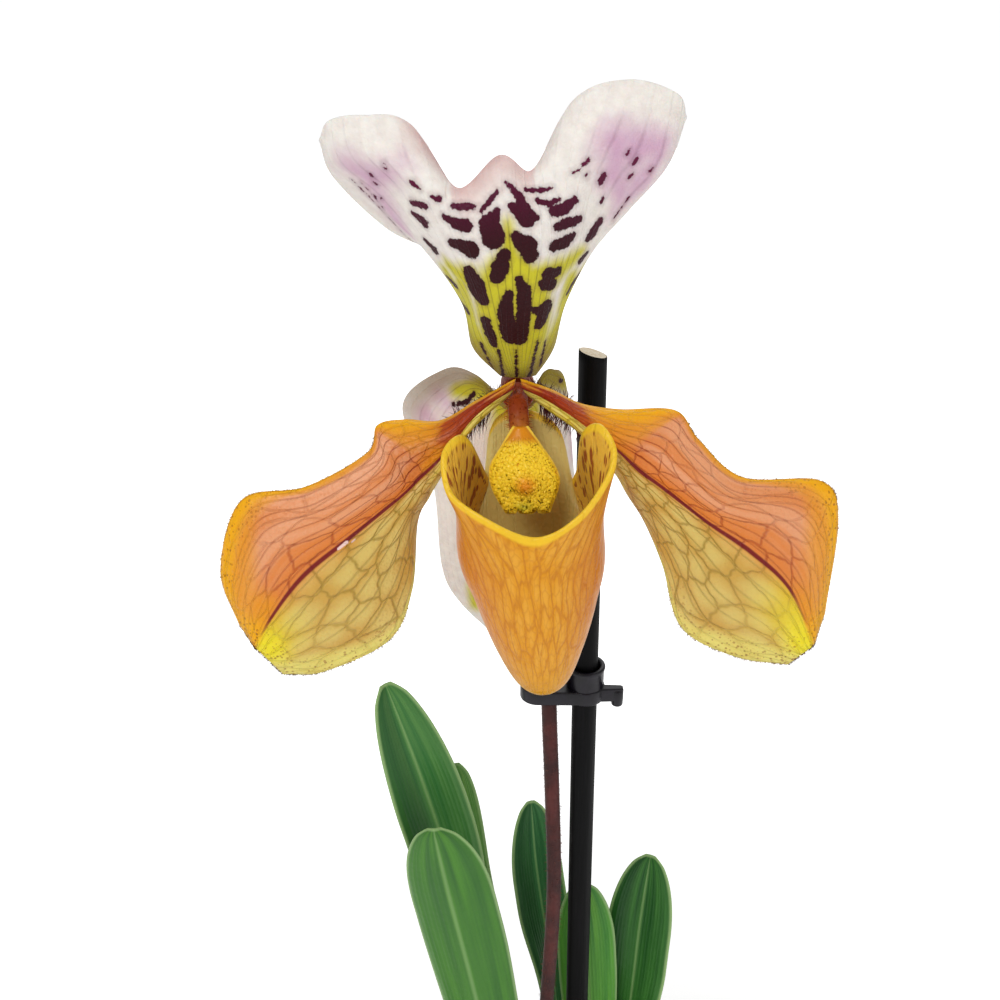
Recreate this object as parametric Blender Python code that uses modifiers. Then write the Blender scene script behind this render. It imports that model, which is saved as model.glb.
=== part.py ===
"""A potted slipper orchid (Paphiopedilum): one flower on a staked stem, two growths of leaves and a pot.

Run with: blender --background --python part.py

Metres, +Z up. The origin is the middle of the pot's underside, and the flower faces -Y. Sizes here are in
millimetres. The flower's own points are (right, back, up) from the middle of the bloom, where the petals
meet.
"""

import math
import random

import bmesh
import bpy
import numpy as np
from mathutils import Vector

MM = 0.001
GAP = 0.3
SHARP_DEG = 40.0
MERGE = 1e-6
FLOWER = np.array([-14.0, -25.0, 347.0])

# The pot and what fills it
POT_HEIGHT = 96.0
POT_RIM_RADIUS = 58.0
POT_FOOT_RADIUS = 41.0
POT_WALL = 4.0
POT_FLOOR = 5.0
POT_FILLET = 2.5  # between the floor and the wall inside
POT_FOOT_RING = 3.0  # height of the foot's edge
POT_FOOT_FLARE = 0.8  # how far the wall stands out over the foot
POT_FOOT_BEVEL = 1.2
TURNED_STEPS = 40
BARK_TOP = 88.0
BARK_CLEARANCE = 0.3  # beyond the gap, for the facets of pot and bark
BARK_PIECES = 50
BARK_SEED = 8
BARK_LENGTHS = (8.0, 12.0)
BARK_WIDTHS = (6.0, 9.0)
BARK_THICKNESSES = (5.0, 7.0)
BARK_TILT = 0.35
BARK_INSET = 7.8  # from the pot's wall to the outermost chunk's middle
BARK_CLEAR_OF_CROWN = 8.5

# The blades' thicknesses
SEPAL_THICKNESS = 0.9
PETAL_THICKNESS = 0.9
LIP_THICKNESS = 1.1
STAMINODE_THICKNESS = 1.2
LEAF_THICKNESS = 1.4
BRACT_THICKNESS = 0.8

# The stake and the clip on it
STICK_RADIUS = 2.9
STICK_FOOT = Vector((4.6, 5.0, 36.0))
STICK_TOP = Vector((1.0, 5.0, 342.8))
STICK_SIDES = 24
STICK_SLANT = 0.25
CLIP_BOTTOM = 263.0
CLIP_HEIGHT = 3.4
COLLAR_TOP = 271.5
COLLAR_RADIUS = 4.4
CLIP_SLACK = 0.35
CLIP_LEFT = -8.6  # middle of the link's round left end
CLIP_HALF_DEPTH = 3.9
SLOT_RADIUS = 2.45
SLOT_RIGHT = -5.9
LEVER_TIP = 10.3
LEVER_FRONT = -2.4
LEVER_BACK = -0.6
LEVER_CORNER = 0.4
TAB_RIGHT = 9.1
TAB_RADIUS = 1.3
TAB_DROP = 1.2  # how far the tab hangs under the link
TAB_LENGTH = 4.0

# The growths: where each short stem stands, and its radius
LEFT_CROWN = Vector((-9.0, 7.0, 80.0))
RIGHT_CROWN = Vector((9.5, 17.5, 80.0))
CROWN_RADIUS = 6.0
CROWN_HEIGHT = 24.0
CROWN_STEPS = 20
HOLE_SLACK = 0.4
HOLE_LENGTH = 70.0

# The flower stem and the ovary that carries the bloom, with their radii
SCAPE_RADIUS = 1.75
SCAPE_LINE = (
    (-9.0, 7.0, 104.4),
    (-8.3, 6.0, 125.0),
    (-6.0, 4.4, 150.0),
    (-4.6, 4.0, 176.0),
    (-3.8, 4.2, 207.0),
    (-4.8, 4.6, 236.0),
    (-6.0, 4.8, 262.0),
    (-6.8, 4.9, 296.0),
)
OVARY_LINE = (
    (-6.8, 4.9, 296.4),
    (-8.2, 4.6, 309.0),
    (-10.3, 1.6, 323.0),
    (-12.4, -5.0, 336.0),
    (-13.6, -11.5, 342.6),
    (-14.0, -16.2, 344.2),
)
OVARY_RADII = (1.7, 2.1, 2.5, 2.6, 2.3, 2.2)
COLUMN_LINE = (
    (0.0, 8.2, -2.7),
    (0.0, 2.3, -2.7),
    (0.0, 1.6, -2.7),
    (0.0, -4.0, -3.2),
    (0.3, -8.0, -6.4),
    (0.7, -10.5, -9.2),
    (0.9, -11.9, -11.0),
)
COLUMN_RADII = (2.9, 2.9, 1.7, 1.7, 1.6, 1.4, 1.3)
STIGMA_PLACE = (0.5, -8.4, -9.3)
STIGMA_HALVES = (2.3, 2.8, 1.3)
STIGMA_TILT_DEG = -25.0

# Petals, from the middle of the bloom outwards: the upper edge, the midrib and the lower edge of each row
LEFT_PETAL = (
    ((-0.5, -1.9, 1.3), (-0.9, -2.2, 0.0), (-2.4, -2.0, -2.3)),
    ((-7.0, -2.0, -2.5), (-6.5, -3.5, -4.0), (-7.0, -3.0, -6.0)),
    ((-13.0, -2.0, -6.0), (-10.0, -5.5, -8.0), (-10.5, -5.0, -9.5)),
    ((-19.0, -1.5, -6.0), (-13.5, -7.0, -11.5), (-13.0, -5.5, -14.5)),
    ((-23.5, -3.0, -6.5), (-16.5, -8.0, -14.0), (-15.0, -6.5, -18.0)),
    ((-25.0, -6.5, -10.0), (-19.5, -9.5, -16.5), (-17.0, -8.0, -22.0)),
    ((-35.0, -9.0, -15.0), (-28.0, -13.0, -22.5), (-18.0, -11.5, -33.0)),
    ((-46.0, -9.0, -17.5), (-35.5, -16.0, -28.0), (-22.0, -14.0, -41.5)),
    ((-50.0, -12.0, -29.0), (-41.0, -17.5, -35.0), (-33.0, -16.0, -46.5)),
    ((-47.0, -15.5, -37.5), (-44.0, -18.0, -40.5), (-40.0, -17.0, -46.5)),
)
RIGHT_PETAL = (
    ((0.5, -1.9, 1.3), (0.9, -2.2, 0.0), (2.4, -2.0, -2.0)),
    ((5.5, -2.0, -0.5), (6.0, -3.5, -2.5), (5.5, -3.0, -4.0)),
    ((10.5, -2.0, -3.0), (10.0, -5.5, -5.0), (10.0, -5.0, -6.5)),
    ((17.0, -2.0, -4.0), (16.0, -7.0, -9.0), (16.0, -5.5, -13.5)),
    ((26.3, -2.0, -4.2), (20.0, -8.0, -12.5), (18.5, -6.5, -17.5)),
    ((30.0, -5.0, -8.2), (24.0, -9.5, -15.0), (21.5, -8.0, -22.0)),
    ((37.0, -8.5, -13.5), (31.0, -13.0, -19.5), (24.5, -11.5, -28.5)),
    ((50.0, -9.0, -14.0), (38.0, -16.0, -23.5), (28.0, -14.0, -39.0)),
    ((53.0, -11.0, -20.0), (44.5, -17.5, -29.5), (37.0, -16.0, -43.5)),
    ((51.5, -15.5, -35.5), (49.5, -18.0, -40.0), (46.0, -17.0, -44.5)),
)
PETAL_BULGE = 1.6  # how far each half stands out of the midrib's groove

# The hooded sepal, from its base up: eleven points across, from the rolled left margin to the right one
DORSAL_SEPAL = (
    (
        (-3.2, 3.2, 0.6), (-2.8, 2.4, 0.8), (-2.2, 1.7, 0.9), (-1.4, 1.3, 0.9), (-0.7, 1.1, 0.9),
        (0.0, 1.0, 0.9),
        (0.7, 1.1, 0.9), (1.4, 1.3, 0.9), (2.2, 1.7, 0.9), (2.8, 2.4, 0.8), (3.2, 3.2, 0.6),
    ),
    (
        (-7.5, 4.0, 5.5), (-7.0, 1.0, 6.5), (-5.5, -1.5, 8.0), (-4.5, -3.0, 8.5),
        (-2.5, -4.0, 9.0), (-1.0, -4.5, 9.0),
        (1.0, -4.0, 9.0), (3.0, -3.0, 8.5), (4.0, -1.5, 8.0), (5.5, 1.0, 6.5), (6.0, 4.0, 5.8),
    ),
    (
        (-7.5, 7.0, 11.5), (-9.0, 2.0, 13.5), (-7.5, -3.0, 15.0), (-6.0, -5.0, 15.5), (-3.5, -6.5, 16.0),
        (-1.0, -7.0, 16.5), (1.5, -6.5, 16.0), (4.0, -5.0, 15.5), (5.5, -3.0, 15.0),
        (7.5, 2.0, 13.5), (6.0, 7.0, 11.5),
    ),
    (
        (-13.0, 8.0, 19.5), (-14.5, 2.5, 21.5), (-12.0, -2.5, 23.0), (-9.5, -5.0, 24.0), (-5.5, -7.0, 24.5),
        (-1.5, -7.5, 25.0), (2.5, -7.0, 25.0), (6.0, -5.0, 24.0), (8.5, -2.5, 23.0),
        (11.5, 2.5, 21.5), (10.0, 8.0, 19.5),
    ),
    (
        (-21.5, 8.0, 24.0), (-22.0, 2.5, 30.0), (-17.5, -2.0, 32.0), (-13.0, -4.5, 31.5),
        (-9.0, -5.0, 30.5),
        (-2.5, -6.0, 33.0), (1.5, -5.0, 32.5), (5.5, -4.5, 32.0), (10.5, -3.0, 33.5),
        (17.0, 2.0, 29.0), (16.5, 8.0, 26.5),
    ),
    (
        (-29.5, 6.0, 32.5), (-28.0, 1.5, 35.5), (-22.5, -2.5, 37.5), (-14.5, -3.0, 35.5),
        (-9.0, -1.0, 31.5),
        (-3.0, -2.5, 36.5), (1.5, -1.0, 34.0), (6.0, -3.0, 38.0), (13.5, -3.0, 40.5),
        (22.0, 1.0, 36.0), (23.5, 5.0, 35.5),
    ),
    (
        (-31.0, 3.0, 38.5), (-29.0, 1.0, 41.5), (-23.5, -1.0, 42.5), (-16.5, 0.0, 41.0), (-9.0, 8.0, 28.2),
        (-3.0, 8.0, 34.0), (2.0, 8.0, 31.5), (8.0, 0.0, 44.5), (16.0, -1.0, 47.5),
        (23.5, 0.0, 45.5), (25.5, 2.0, 42.0),
    ),
)

# The lower sepal behind the pouch, from its base down: five points across
SYNSEPAL = (
    ((-3.2, 5.6, -5.4), (-1.7, 5.0, -6.2), (0.0, 4.8, -6.4), (1.7, 5.0, -6.2), (3.2, 5.6, -5.4)),
    ((-7.2, 10.0, -2.0), (-3.8, 7.2, -5.6), (0.0, 5.8, -7.6), (2.8, 7.2, -5.6), (4.4, 10.5, -2.2)),
    ((-13.0, 14.0, -2.3), (-6.8, 8.8, -7.0), (0.0, 6.8, -10.0), (4.0, 8.8, -7.0), (6.5, 14.0, -2.3)),
    ((-21.0, 17.0, -10.5), (-10.0, 10.0, -14.0), (0.0, 8.6, -15.0), (6.0, 10.5, -13.0), (9.0, 17.0, -6.0)),
    ((-16.0, 20.0, -27.0), (-8.5, 14.0, -27.5), (1.0, 11.5, -27.5), (7.0, 13.0, -26.5), (11.0, 18.0, -23.5)),
    ((-14.5, 18.0, -44.5), (-7.5, 15.0, -44.5), (1.5, 13.0, -43.5), (8.5, 14.5, -43.5), (13.0, 18.0, -43.0)),
    ((-11.0, 16.0, -51.5), (-5.5, 14.0, -52.0), (2.5, 12.5, -52.0), (8.5, 13.5, -51.5), (12.0, 16.0, -51.0)),
    ((-3.0, 13.0, -58.5), (0.0, 12.5, -59.0), (3.5, 12.0, -59.0), (6.5, 12.5, -58.5), (9.0, 13.0, -57.5)),
)

# The pouch: its rim from the front round by the right ear, the back and the left ear, then the body's rings
LIP_RIM = (
    (2.5, -25.0, -16.5), (9.0, -23.5, -13.5), (13.5, -19.5, -9.0), (15.0, -16.0, -5.5), (13.0, -12.0, -3.0),
    (10.5, -9.0, -5.5), (10.0, -6.0, -13.5), (8.5, -3.5, -16.0), (7.0, -1.5, -8.0), (3.5, -0.5, -5.4),
    (0.5, 0.0, -5.0), (-2.5, -0.5, -5.4), (-4.5, -1.5, -8.0), (-4.5, -3.5, -16.0), (-5.5, -6.0, -14.0),
    (-8.0, -9.0, -7.0), (-10.0, -12.0, -5.0), (-12.0, -16.0, -6.5), (-11.0, -19.5, -11.0),
    (-5.0, -23.5, -14.0),
)
LIP_RINGS = (
    # height, middle (x, y), half width, half depth
    (-22.0, 2.0, -16.0, 11.5, 9.5),
    (-31.0, 2.9, -17.5, 9.5, 8.5),
    (-39.0, 3.5, -18.5, 6.9, 7.0),
    (-45.0, 4.0, -19.3, 4.0, 4.6),
    (-48.0, 4.0, -19.7, 0.0, 0.0),
)

# The shield over the pouch's mouth, from its neck down: left edge, middle, right edge
STAMINODE = (
    ((-0.9, -9.4, -4.2), (0.2, -10.0, -4.4), (1.5, -9.4, -4.2)),
    ((-3.0, -11.0, -7.4), (0.5, -12.2, -7.0), (4.0, -11.0, -7.4)),
    ((-4.5, -12.6, -9.6), (0.9, -14.6, -9.2), (5.6, -12.6, -9.3)),
    ((-4.6, -13.6, -11.6), (1.0, -15.6, -11.2), (6.5, -13.6, -11.4)),
    ((-4.0, -14.6, -13.4), (1.1, -16.0, -13.4), (6.2, -14.6, -13.2)),
    ((-2.9, -15.7, -15.0), (1.3, -16.3, -15.1), (5.4, -15.7, -15.0)),
    ((-2.0, -16.2, -16.3), (1.4, -16.6, -16.2), (4.9, -16.2, -16.2)),
)
WART_HEIGHT = 0.3
WARTS_ACROSS = 5
WARTS_DOWN = 6
KNOB_HEIGHT = 0.8
KNOB_PLACE = 0.52  # share of the shield's length
KNOB_SIZE = (0.12, 0.09)  # shares of its width and length

# The bract behind the ovary: middle line, half widths
BRACT_LINE = ((-6.6, 8.6, 289.0), (-7.4, 9.8, 300.0), (-9.2, 9.4, 311.0), (-10.6, 7.6, 321.0))
BRACT_WIDTHS = (2.6, 4.2, 3.6, 0.6)
BRACT_CHANNELS = (0.5, 0.3)

# Each leaf: its middle line, its half width, and the way its upper face looks at the base and at the tip
LEAVES = {
    "leaf_left_tall": (
        (
            (-16.6, 7.0, 95.0), (-19.0, 9.5, 125.0), (-23.8, 11.0, 160.0), (-30.0, 12.0, 206.0),
            (-35.4, 11.5, 232.0), (-43.4, 11.0, 262.0),
        ),
        8.8, (1.0, 0.0, 0.1), (0.45, -0.9, 0.0),
    ),
    "leaf_left_front": (
        (
            (-9.5, -0.8, 95.0), (-13.5, -2.0, 125.0), (-19.0, -2.6, 155.0), (-24.8, -2.4, 188.0),
            (-29.3, -2.8, 213.5), (-32.2, -3.0, 231.8),
        ),
        10.2, (0.0, 1.0, 0.0), (0.1, 1.0, 0.0),
    ),
    "leaf_left_back": (
        (
            (-9.0, 14.9, 95.0), (-14.4, 19.2, 130.0), (-21.4, 21.5, 165.0), (-26.8, 21.5, 200.0),
            (-28.2, 22.0, 230.6),
        ),
        6.4, (0.0, -1.0, 0.1), (0.3, -1.0, 0.0),
    ),
    "leaf_right_back": (
        (
            (2.0, 21.0, 95.0), (0.4, 23.5, 125.0), (-2.6, 25.0, 157.0), (-5.2, 26.0, 176.0),
            (-7.6, 27.0, 195.0), (-9.0, 28.0, 213.6),
        ),
        6.8, (0.9, -0.4, 0.1), (0.25, -1.0, 0.0),
    ),
    "leaf_right_side": (
        (
            (17.2, 17.8, 95.0), (18.0, 18.0, 125.0), (19.4, 18.4, 150.0), (20.6, 19.5, 178.0),
            (22.2, 20.0, 202.6),
        ),
        8.5, (-1.0, 0.0, 0.1), (-0.35, -0.95, 0.0),
    ),
    "leaf_right_front": (
        ((10.2, 9.9, 95.0), (9.4, 11.2, 120.0), (7.8, 12.6, 150.0), (6.0, 13.4, 176.0), (4.2, 13.6, 199.0)),
        7.6, (0.0, 1.0, 0.0), (0.0, 1.0, 0.0),
    ),
    "leaf_low_left_front": (
        (
            (-14.4, 0.6, 90.0), (-26.0, -5.5, 103.0), (-46.0, -14.5, 119.0), (-67.0, -22.0, 124.0),
            (-88.0, -28.0, 117.0),
        ),
        8.4, (0.6, 0.3, 0.8), (0.2, 0.1, 1.0),
    ),
    "leaf_low_left_back": (
        (
            (-14.8, 12.8, 90.0), (-26.0, 20.0, 103.0), (-44.0, 31.0, 110.0), (-62.0, 39.0, 107.0),
            (-79.0, 45.0, 97.0),
        ),
        7.8, (0.6, -0.3, 0.8), (0.2, -0.1, 1.0),
    ),
    "leaf_low_right_front": (
        (
            (14.8, 11.2, 90.0), (25.5, 2.5, 103.0), (44.0, -10.5, 119.0), (62.0, -22.0, 124.0),
            (80.0, -32.0, 116.0),
        ),
        8.2, (-0.6, 0.4, 0.8), (-0.2, 0.1, 1.0),
    ),
    "leaf_low_right_back": (
        (
            (15.4, 23.6, 90.0), (26.0, 29.5, 103.0), (43.0, 37.0, 109.0), (60.0, 42.0, 105.0),
            (76.0, 46.0, 95.0),
        ),
        7.8, (-0.6, -0.3, 0.8), (-0.2, -0.1, 1.0),
    ),
}
LEAF_OUTLINE = (0.52, 0.56, 0.66, 0.8, 0.92, 1.0, 1.0, 1.0, 1.0)  # share of the half width, base to tip
LEAF_ROUND_FROM = 0.74  # share of the length where the round tip starts
LEAF_ROWS = 14
LEAF_CHANNELS = (0.42, 0.16)  # depth of the fold at base and tip, as shares of the half width
FOLD_TURN = 1.6  # how soon along its length a blade has turned to its tip's way


def clear_scene():
    """Removes whatever the scene holds."""
    for thing in list(bpy.data.objects):
        bpy.data.objects.remove(thing, do_unlink=True)


def collection(name):
    """A new collection in the scene."""
    made = bpy.data.collections.new(name)
    bpy.context.scene.collection.children.link(made)
    return made


def material(name, colour, roughness):
    """A plain coloured material."""
    made = bpy.data.materials.new(name)
    made.use_nodes = True
    shader = made.node_tree.nodes["Principled BSDF"]
    shader.inputs["Base Color"].default_value = (*colour, 1.0)
    shader.inputs["Roughness"].default_value = roughness
    shader.inputs["Metallic"].default_value = 0.0
    made.diffuse_color = (*colour, 1.0)
    return made


def add(name, data, group, finish=None):
    """A new object of this mesh or curve in a collection."""
    made = bpy.data.objects.new(name, data)
    group.objects.link(made)
    if finish:
        data.materials.append(finish)
    return made


def mesh_from(name, bm, smooth=True):
    """The finished mesh of a bmesh, with its faces pointing out."""
    bmesh.ops.recalc_face_normals(bm, faces=bm.faces)
    mesh = bpy.data.meshes.new(name)
    bm.to_mesh(mesh)
    bm.free()
    if smooth:
        mesh.shade_smooth()
        mesh.set_sharp_from_angle(angle=math.radians(SHARP_DEG))
    return mesh


def spline(points, places):
    """Points of the smooth curve through the given ones, at places from 0 to 1 along it."""
    points = np.asarray(points, float)
    last = len(points) - 1
    padded = np.concatenate([[2 * points[0] - points[1]], points, [2 * points[-1] - points[-2]]])
    at = np.clip(np.asarray(places, float) * last, 0, last)
    start = np.minimum(at.astype(int), last - 1)
    t = (at - start).reshape((-1,) + (1,) * (points.ndim - 1))
    a, b, c, d = (padded[start + step] for step in range(4))
    return 0.5 * (2 * b + (c - a) * t + (2 * a - 5 * b + 4 * c - d) * t**2 + (3 * b - a - 3 * c + d) * t**3)


def net(rows, long, wide):
    """A grid of (long + 1) by (wide + 1) points on the smooth sheet through rows of points."""
    down = spline(rows, np.linspace(0, 1, long + 1))
    return np.swapaxes(spline(np.swapaxes(down, 0, 1), np.linspace(0, 1, wide + 1)), 0, 1)


def blade(name, grid, thickness, finish, group, seam=None):
    """A thin solid on a grid of points, split into triangles alike on both faces."""
    long, wide = grid.shape[0] - 1, grid.shape[1] - 1
    bm = bmesh.new()
    bmesh.ops.create_grid(bm, x_segments=wide, y_segments=long, size=0.5)
    for vert in bm.verts:
        row = round((vert.co.y + 0.5) * long)
        column = round((vert.co.x + 0.5) * wide)
        vert.co = Vector(grid[row, column]) * MM
    if seam:
        bmesh.ops.remove_doubles(bm, verts=bm.verts, dist=seam * MM)
    bmesh.ops.triangulate(bm, faces=bm.faces)
    made = add(name, mesh_from(name, bm), group, finish)
    solidify = made.modifiers.new("thickness", "SOLIDIFY")
    solidify.thickness = thickness * MM
    solidify.offset = 0.0
    return made


def tube(name, line, radii, finish, group, sides=2, steps=3):
    """A round stem along a smooth line, with a radius at each of its points."""
    places = np.linspace(0, 1, (len(line) - 1) * steps + 1)
    centres = spline(line, places)
    widths = np.interp(places, np.linspace(0, 1, len(radii)), radii)
    curve = bpy.data.curves.new(name, "CURVE")
    curve.dimensions = "3D"
    curve.bevel_depth = MM
    curve.bevel_resolution = sides
    curve.render_resolution_u = 0
    curve.use_fill_caps = True
    path = curve.splines.new("POLY")
    path.points.add(len(centres) - 1)
    for point, centre, width in zip(path.points, centres, widths):
        point.co = (*(Vector(centre) * MM), 1.0)
        point.radius = float(width)
    return add(name, curve, group, finish)


def as_mesh(thing):
    """Replaces a curve object by a mesh object of the same name, shape and place."""
    evaluated = thing.evaluated_get(bpy.context.evaluated_depsgraph_get())
    mesh = bpy.data.meshes.new_from_object(evaluated)
    bm = bmesh.new()
    bm.from_mesh(mesh)
    bmesh.ops.remove_doubles(bm, verts=bm.verts, dist=MERGE)
    bmesh.ops.recalc_face_normals(bm, faces=bm.faces)
    bm.to_mesh(mesh)
    bm.free()
    name, group, place = thing.name, thing.users_collection[0], thing.matrix_world.copy()
    bpy.data.objects.remove(thing, do_unlink=True)
    made = add(name, mesh, group)
    made.matrix_world = place
    return made


def turned(name, profile, finish, group, steps=TURNED_STEPS):
    """A turned solid about Z: a profile of (radius, height) that runs down its outer side."""
    bm = bmesh.new()
    verts = [bm.verts.new((radius * MM, 0.0, height * MM)) for radius, height in profile]
    for first, second in zip(verts, verts[1:]):
        bm.edges.new((first, second))
    mesh = bpy.data.meshes.new(name)
    bm.to_mesh(mesh)
    bm.free()
    made = add(name, mesh, group, finish)
    screw = made.modifiers.new("turn", "SCREW")
    screw.steps = steps
    screw.render_steps = steps
    screw.use_merge_vertices = True
    screw.merge_threshold = MERGE
    screw.use_smooth_shade = True
    return made


def apply_modifiers(thing):
    """Makes an object's modifiers a plain mesh."""
    with bpy.context.temp_override(object=thing, active_object=thing):
        for name in [modifier.name for modifier in thing.modifiers]:
            bpy.ops.object.modifier_apply(modifier=name)


def fuse(thing, pieces):
    """Joins the pieces to a thing by one Boolean union, and removes them."""
    group = collection(thing.name + "_pieces")
    for piece in pieces:
        for old in piece.users_collection:
            old.objects.unlink(piece)
        group.objects.link(piece)
    union = thing.modifiers.new("join", "BOOLEAN")
    union.operation = "UNION"
    union.operand_type = "COLLECTION"
    union.collection = group
    union.solver = "EXACT"
    apply_modifiers(thing)
    for piece in list(group.objects):
        bpy.data.objects.remove(piece, do_unlink=True)
    bpy.data.collections.remove(group)


def cut(thing, cutter):
    """Cuts a hidden cutter out of a thing."""
    cutter.hide_render = True
    cutter.display_type = "WIRE"
    difference = thing.modifiers.new("cut", "BOOLEAN")
    difference.operation = "DIFFERENCE"
    difference.object = cutter
    difference.solver = "EXACT"


def rod(name, foot, top, radius, group, finish=None, sides=STICK_SIDES, slant=0.0):
    """A straight round rod between two points, its top cut at a slant (rise over run to the left)."""
    along = top - foot
    bm = bmesh.new()
    bmesh.ops.create_cone(
        bm, cap_ends=True, segments=sides, radius1=radius * MM, radius2=radius * MM, depth=along.length * MM
    )
    for vert in bm.verts:
        if vert.co.z > 0:
            vert.co.z -= slant * vert.co.x
    made = add(name, mesh_from(name, bm), group, finish)
    made.location = (foot + top) / 2 * MM
    made.rotation_mode = "QUATERNION"
    made.rotation_quaternion = Vector((0, 0, 1)).rotation_difference(along)
    return made


def arc(centre, radius, start, end, steps):
    """Points of an arc, angles in degrees."""
    angles = [math.radians(start + (end - start) * step / steps) for step in range(steps + 1)]
    return [(centre[0] + radius * math.cos(angle), centre[1] + radius * math.sin(angle)) for angle in angles]


def plate(name, outlines, bottom, height, finish, group):
    """A flat plate with holes: closed outlines in millimetres, the first one outside."""
    curve = bpy.data.curves.new(name, "CURVE")
    curve.dimensions = "2D"
    curve.fill_mode = "BOTH"
    curve.extrude = height / 2 * MM
    for outline in outlines:
        path = curve.splines.new("POLY")
        path.points.add(len(outline) - 1)
        path.use_cyclic_u = True
        for point, (x, y) in zip(path.points, outline):
            point.co = (x * MM, y * MM, 0.0, 1.0)
    made = add(name, curve, group, finish)
    made.location.z = (bottom + height / 2) * MM
    return made


def bloom(points):
    """Flower points as places in the object."""
    return np.asarray(points, float) + FLOWER


def petal(name, rows, finish, group):
    """A petal with a midrib in a groove and two rounded halves."""
    rows = bloom(rows)
    share = np.sin(np.linspace(0, 1, len(rows)) * math.pi) ** 0.6
    bulge = np.stack([np.zeros(len(rows)), -PETAL_BULGE * share, np.zeros(len(rows))], 1)
    upper = (rows[:, 0] + rows[:, 1]) / 2 + bulge
    lower = (rows[:, 1] + rows[:, 2]) / 2 + bulge
    five = np.stack([rows[:, 0], upper, rows[:, 1], lower, rows[:, 2]], 1)
    return blade(name, net(five, 18, 8), PETAL_THICKNESS, finish, group)


def lip(finish, group):
    """The pouch: an open cup whose rim rises in two ears and at its back."""
    around = len(LIP_RIM)
    turns = [math.radians(-90 + 360 * step / around) for step in range(around)]
    rows = [list(LIP_RIM)]
    for height, x, y, half_width, half_depth in LIP_RINGS:
        rows.append([(x + half_width * math.cos(a), y + half_depth * math.sin(a), height) for a in turns])
    rows = bloom(rows)
    down = spline(rows, np.linspace(0, 1, 13))
    wrapped = np.concatenate([down[:, -2:], down, down[:, :3]], 1)
    last = wrapped.shape[1] - 1
    places = (2 + np.linspace(0, around, 33)) / last
    grid = np.swapaxes(spline(np.swapaxes(wrapped, 0, 1), places), 0, 1)
    return blade("lip", grid, LIP_THICKNESS, finish, group, seam=0.01)


def staminode(finish, group):
    """The shield: a small arched plate with rows of warts and a knob in its middle."""
    long, wide = 14, 12
    grid = net(bloom(STAMINODE), long, wide)
    across = np.linspace(0, 1, wide + 1)[None, :]
    down = np.linspace(0, 1, long + 1)[:, None]
    warts = np.sin(across * math.pi * WARTS_ACROSS) * np.sin(down * math.pi * WARTS_DOWN)
    knob = np.exp(-(((across - 0.5) / KNOB_SIZE[0]) ** 2) - ((down - KNOB_PLACE) / KNOB_SIZE[1]) ** 2)
    grid[:, :, 1] -= WART_HEIGHT * np.abs(warts) + KNOB_HEIGHT * knob
    return blade("staminode", grid, STAMINODE_THICKNESS, finish, group)


def folded_rows(line, widths, base_face, tip_face, channels):
    """The cage of a long blade folded along its middle: its upper face turns from base_face to tip_face."""
    places = np.linspace(0, 1, len(widths))
    centres = spline(line, places)
    tangents = np.gradient(centres, axis=0)
    rows = []
    for index, place in enumerate(places):
        along = Vector(tangents[index]).normalized()
        turn = min(1.0, place * FOLD_TURN)
        face = Vector(base_face).normalized().lerp(Vector(tip_face).normalized(), turn)
        side = along.cross(face).normalized()
        face = side.cross(along).normalized()
        depth = (channels[0] + (channels[1] - channels[0]) * place) * widths[index]
        row = []
        for share in (-1.0, -0.5, 0.0, 0.5, 1.0):
            rise = depth * abs(share) ** 1.3
            row.append(Vector(centres[index]) + side * (widths[index] * share) + face * rise)
        rows.append([tuple(point) for point in row])
    return rows


def leaf(name, finish, group):
    """One leaf of a growth, with a round tip."""
    line, half_width, base_face, tip_face = LEAVES[name]
    places = np.linspace(0, 1, LEAF_ROWS)
    past = np.clip((places - LEAF_ROUND_FROM) / (1.01 - LEAF_ROUND_FROM), 0, 1)
    widths = half_width * spline(LEAF_OUTLINE, places) * np.sqrt(1 - past**2)
    rows = folded_rows(line, widths, base_face, tip_face, LEAF_CHANNELS)
    return blade(name, net(rows, LEAF_ROWS, 4), LEAF_THICKNESS, finish, group)


def bract(finish, group):
    """The bract behind the ovary."""
    rows = folded_rows(BRACT_LINE, BRACT_WIDTHS, (0.0, -1.0, 0.0), (-0.3, -1.0, -0.4), BRACT_CHANNELS)
    return blade("bract", net(rows, 8, 4), BRACT_THICKNESS, finish, group)


def crown(name, foot, finish, group):
    """The short stem that a growth's leaves clasp."""
    profile = (
        (0.0, CROWN_HEIGHT),
        (2.4, CROWN_HEIGHT - 0.6),
        (4.6, CROWN_HEIGHT - 4.0),
        (CROWN_RADIUS, CROWN_HEIGHT - 12.0),
        (CROWN_RADIUS - 0.4, 2.0),
        (4.0, 0.0),
        (0.0, 0.0),
    )
    made = turned(name, profile, finish, group, steps=CROWN_STEPS)
    made.location = foot * MM
    return made


def inner_radius(height):
    """The pot's inside radius at a height."""
    share = (height - POT_FLOOR) / (POT_HEIGHT - POT_FLOOR)
    return POT_FOOT_RADIUS - POT_WALL + share * (POT_RIM_RADIUS - POT_FOOT_RADIUS)


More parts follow.
